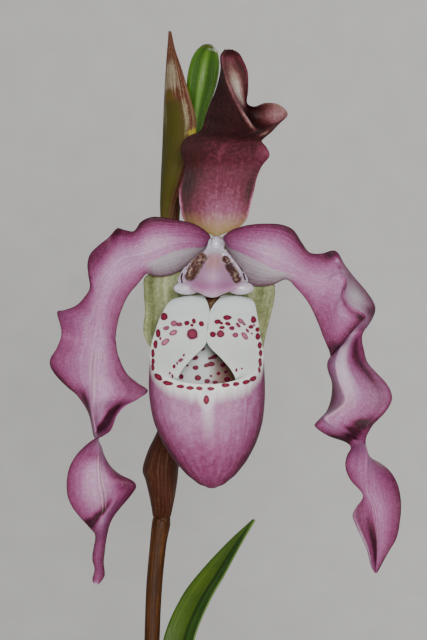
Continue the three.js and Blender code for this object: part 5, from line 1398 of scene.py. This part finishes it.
# ---------------------------------------------------------------- the plant
# Ripples of the petals' margins: (height, count, how closely they keep to the margin).
RIPPLES = [(0.15, 9, 3), (0.1, 26, 5)]
petal_skin = petal_finish()
for side, stations, tones in (("left", PETAL_LEFT, LEFT_PAINT), ("right", PETAL_RIGHT, RIGHT_PAINT)):
    petal = blade(f"petal_{side}_fine", stations, 420, 60, 0.55, FLOWER, RIPPLES, tones, soften=24)
    dress(petal, petal_skin, f"petal_{side}")
dress(blade("dorsal_fine", DORSAL, 280, 64, 0.6, FLOWER, [(0.15, 9, 4)], DORSAL_PAINT),
      dorsal_finish(), "dorsal_sepal")
dress(blade("synsepal_fine", SYNSEPAL, 120, 40, 0.6, FLOWER, [(0.3, 6, 3)]), sepal_finish(),
      "synsepal")
dress(pouch(360, 60, 12), pouch_finish(), "pouch")
dress(column(), column_finish(), "column")

stalk = streaked_finish("green_stalk", ((0.2, 96, 110, 40), (0.5, 134, 120, 60), (0.8, 160, 120, 90)),
                        roughness=0.5)
dress(stem("ovary_fine", OVARY, 80, 48, 6, 0.06), stalk, "ovary")
cane = streaked_finish("brown_cane", ((0.25, 36, 18, 7), (0.5, 64, 35, 13), (0.75, 98, 58, 24)),
                       roughness=0.45, fine=8.0, long=14.0)
dress(stem("scape_fine", SCAPE, 220, 40), cane, "scape")
husk = streaked_finish("brown_bract", ((0.2, 38, 15, 7), (0.5, 66, 30, 15), (0.8, 108, 78, 60)),
                       fine=26.0, long=2.5, depth=0.4)
dress(blade("floral_bract_fine", FLORAL_BRACT, 90, 36, 0.6), husk, "floral_bract")
dress(blade("scape_bract_fine", SCAPE_BRACT, 50, 40, 0.6), husk, "scape_bract")
dry = streaked_finish("dry_sheath", ((0.2, 48, 20, 12), (0.45, 88, 48, 32), (0.8, 142, 108, 84)),
                      fine=28.0, long=2.5, depth=0.4,
                      patches=[("olive", rgb(68, 64, 17)), ("white", rgb(146, 134, 108)),
                               ("blotch", rgb(86, 70, 18)), ("yellow", rgb(146, 134, 34))])
dress(blade("bud_sheath_fine", SHEATH, 120, 48, 0.6, paint=SHEATH_PAINT), dry, "bud_sheath")
dress(stem("bud_fine", BUD, 110, 72, 6, 0.05), bud_finish(), "bud")

leaf_skin = leaf_finish()
for node, side, width, swing, keel in LEAVES:
    stations = leaf_stations(side, width, swing, keel)
    dress(blade(node + "_fine", stations, 120, 24, 1.0, thin=0.7), leaf_skin, node)

dress(potting_mix(), bark_finish(), "potting_mix")
clay = grain_finish("clay", ((0.2, 150, 84, 58), (0.6, 172, 102, 72), (0.9, 188, 122, 92)),
                    scale=60.0, roughness=0.75, depth=0.15)
dress(pot(), clay, "pot")
cover(bpy.data.objects["rootstock"],
      grain_finish("root_skin", ((0.2, 84, 66, 40), (0.8, 150, 130, 92)),
                   scale=220.0, roughness=0.85, depth=0.5))

# ---------------------------------------------------------------- stage, camera and lights
# Lengths from here on are metres.
CAMERA = (0.02195, -0.730, 0.3754)
LENS, SENSOR = 131.25, 36
AIM = Vector((0.02, -0.03, 0.38))          # the lights' aim, inside the flower
# (name, place, size, power)
LIGHTS = [("key", (0.1, -1.38, 0.47), 0.32, 20.0), ("fill", (-0.9, -1.0, 0.5), 0.9, 3.0),
          ("rim", (0.5, 0.7, 1.1), 0.5, 5.0)]
ROOM_LIGHT = 0.32
HALF_WIDTH, FRONT, BACK, TOP, BEND = 1.6, -1.3, 1.1, 2.2, 0.5    # of the backdrop
BEND_STEPS = 12
FLOOR_DROP = 0.5                           # millimetres that the floor lies below the pot


def stage():
    """A pale sweep of paper under and behind the plant. It is clear from behind."""
    paint = Finish("paper", Roughness=0.9)
    paint.done(paint.ramp(paint.grain(40.0), (0.3, 212, 210, 206), (0.7, 218, 216, 212)))
    foot = BACK - BEND
    line = [(FRONT, 0.0), (foot, 0.0)]
    for k in range(1, BEND_STEPS + 1):
        turn = math.pi / 2 * k / BEND_STEPS
        line.append((foot + BEND * math.sin(turn), BEND - BEND * math.cos(turn)))
    line.append((BACK, TOP))
    points = [(x / MM, y / MM, z / MM - FLOOR_DROP)
              for y, z in line for x in (-HALF_WIDTH, HALF_WIDTH)]
    faces = [(i, i + 1, i + 3, i + 2) for i in range(0, 2 * len(line) - 2, 2)]
    sweep = mesh_piece("backdrop", points, faces)
    cover(sweep, paint.material)
    behind = paint.node("NewGeometry").outputs["Backfacing"]
    clear = paint.node("BsdfTransparent").outputs[0]
    seen = paint.node("MixShader", {0: behind, 1: clear, 2: paint.shader.outputs[0]}).outputs[0]
    paint.fill(paint.tree.nodes["Material Output"].inputs["Surface"], seen)


def light(name, place, size, power):
    lamp = bpy.data.lights.new(name, "AREA")
    lamp.shape = "DISK"
    lamp.size = size
    lamp.energy = power
    made = bpy.data.objects.new(name, lamp)
    made.location = place
    made.rotation_euler = (AIM - Vector(place)).to_track_quat("-Z", "Y").to_euler()
    made.visible_camera = False
    bpy.context.scene.collection.objects.link(made)


stage()
for lamp in LIGHTS:
    light(*lamp)
world = bpy.data.worlds.new("room")
bpy.context.scene.world = world
world.use_nodes = True
room = world.node_tree.nodes["Background"]
room.inputs["Color"].default_value = rgb(226, 230, 236)
room.inputs["Strength"].default_value = ROOM_LIGHT

camera = bpy.data.cameras.new("camera")
camera.sensor_width = SENSOR
camera.lens = LENS
viewer = bpy.data.objects.new("camera", camera)
viewer.location = CAMERA
viewer.rotation_euler = (math.pi / 2, 0, 0)
bpy.context.scene.collection.objects.link(viewer)
bpy.context.scene.camera = viewer
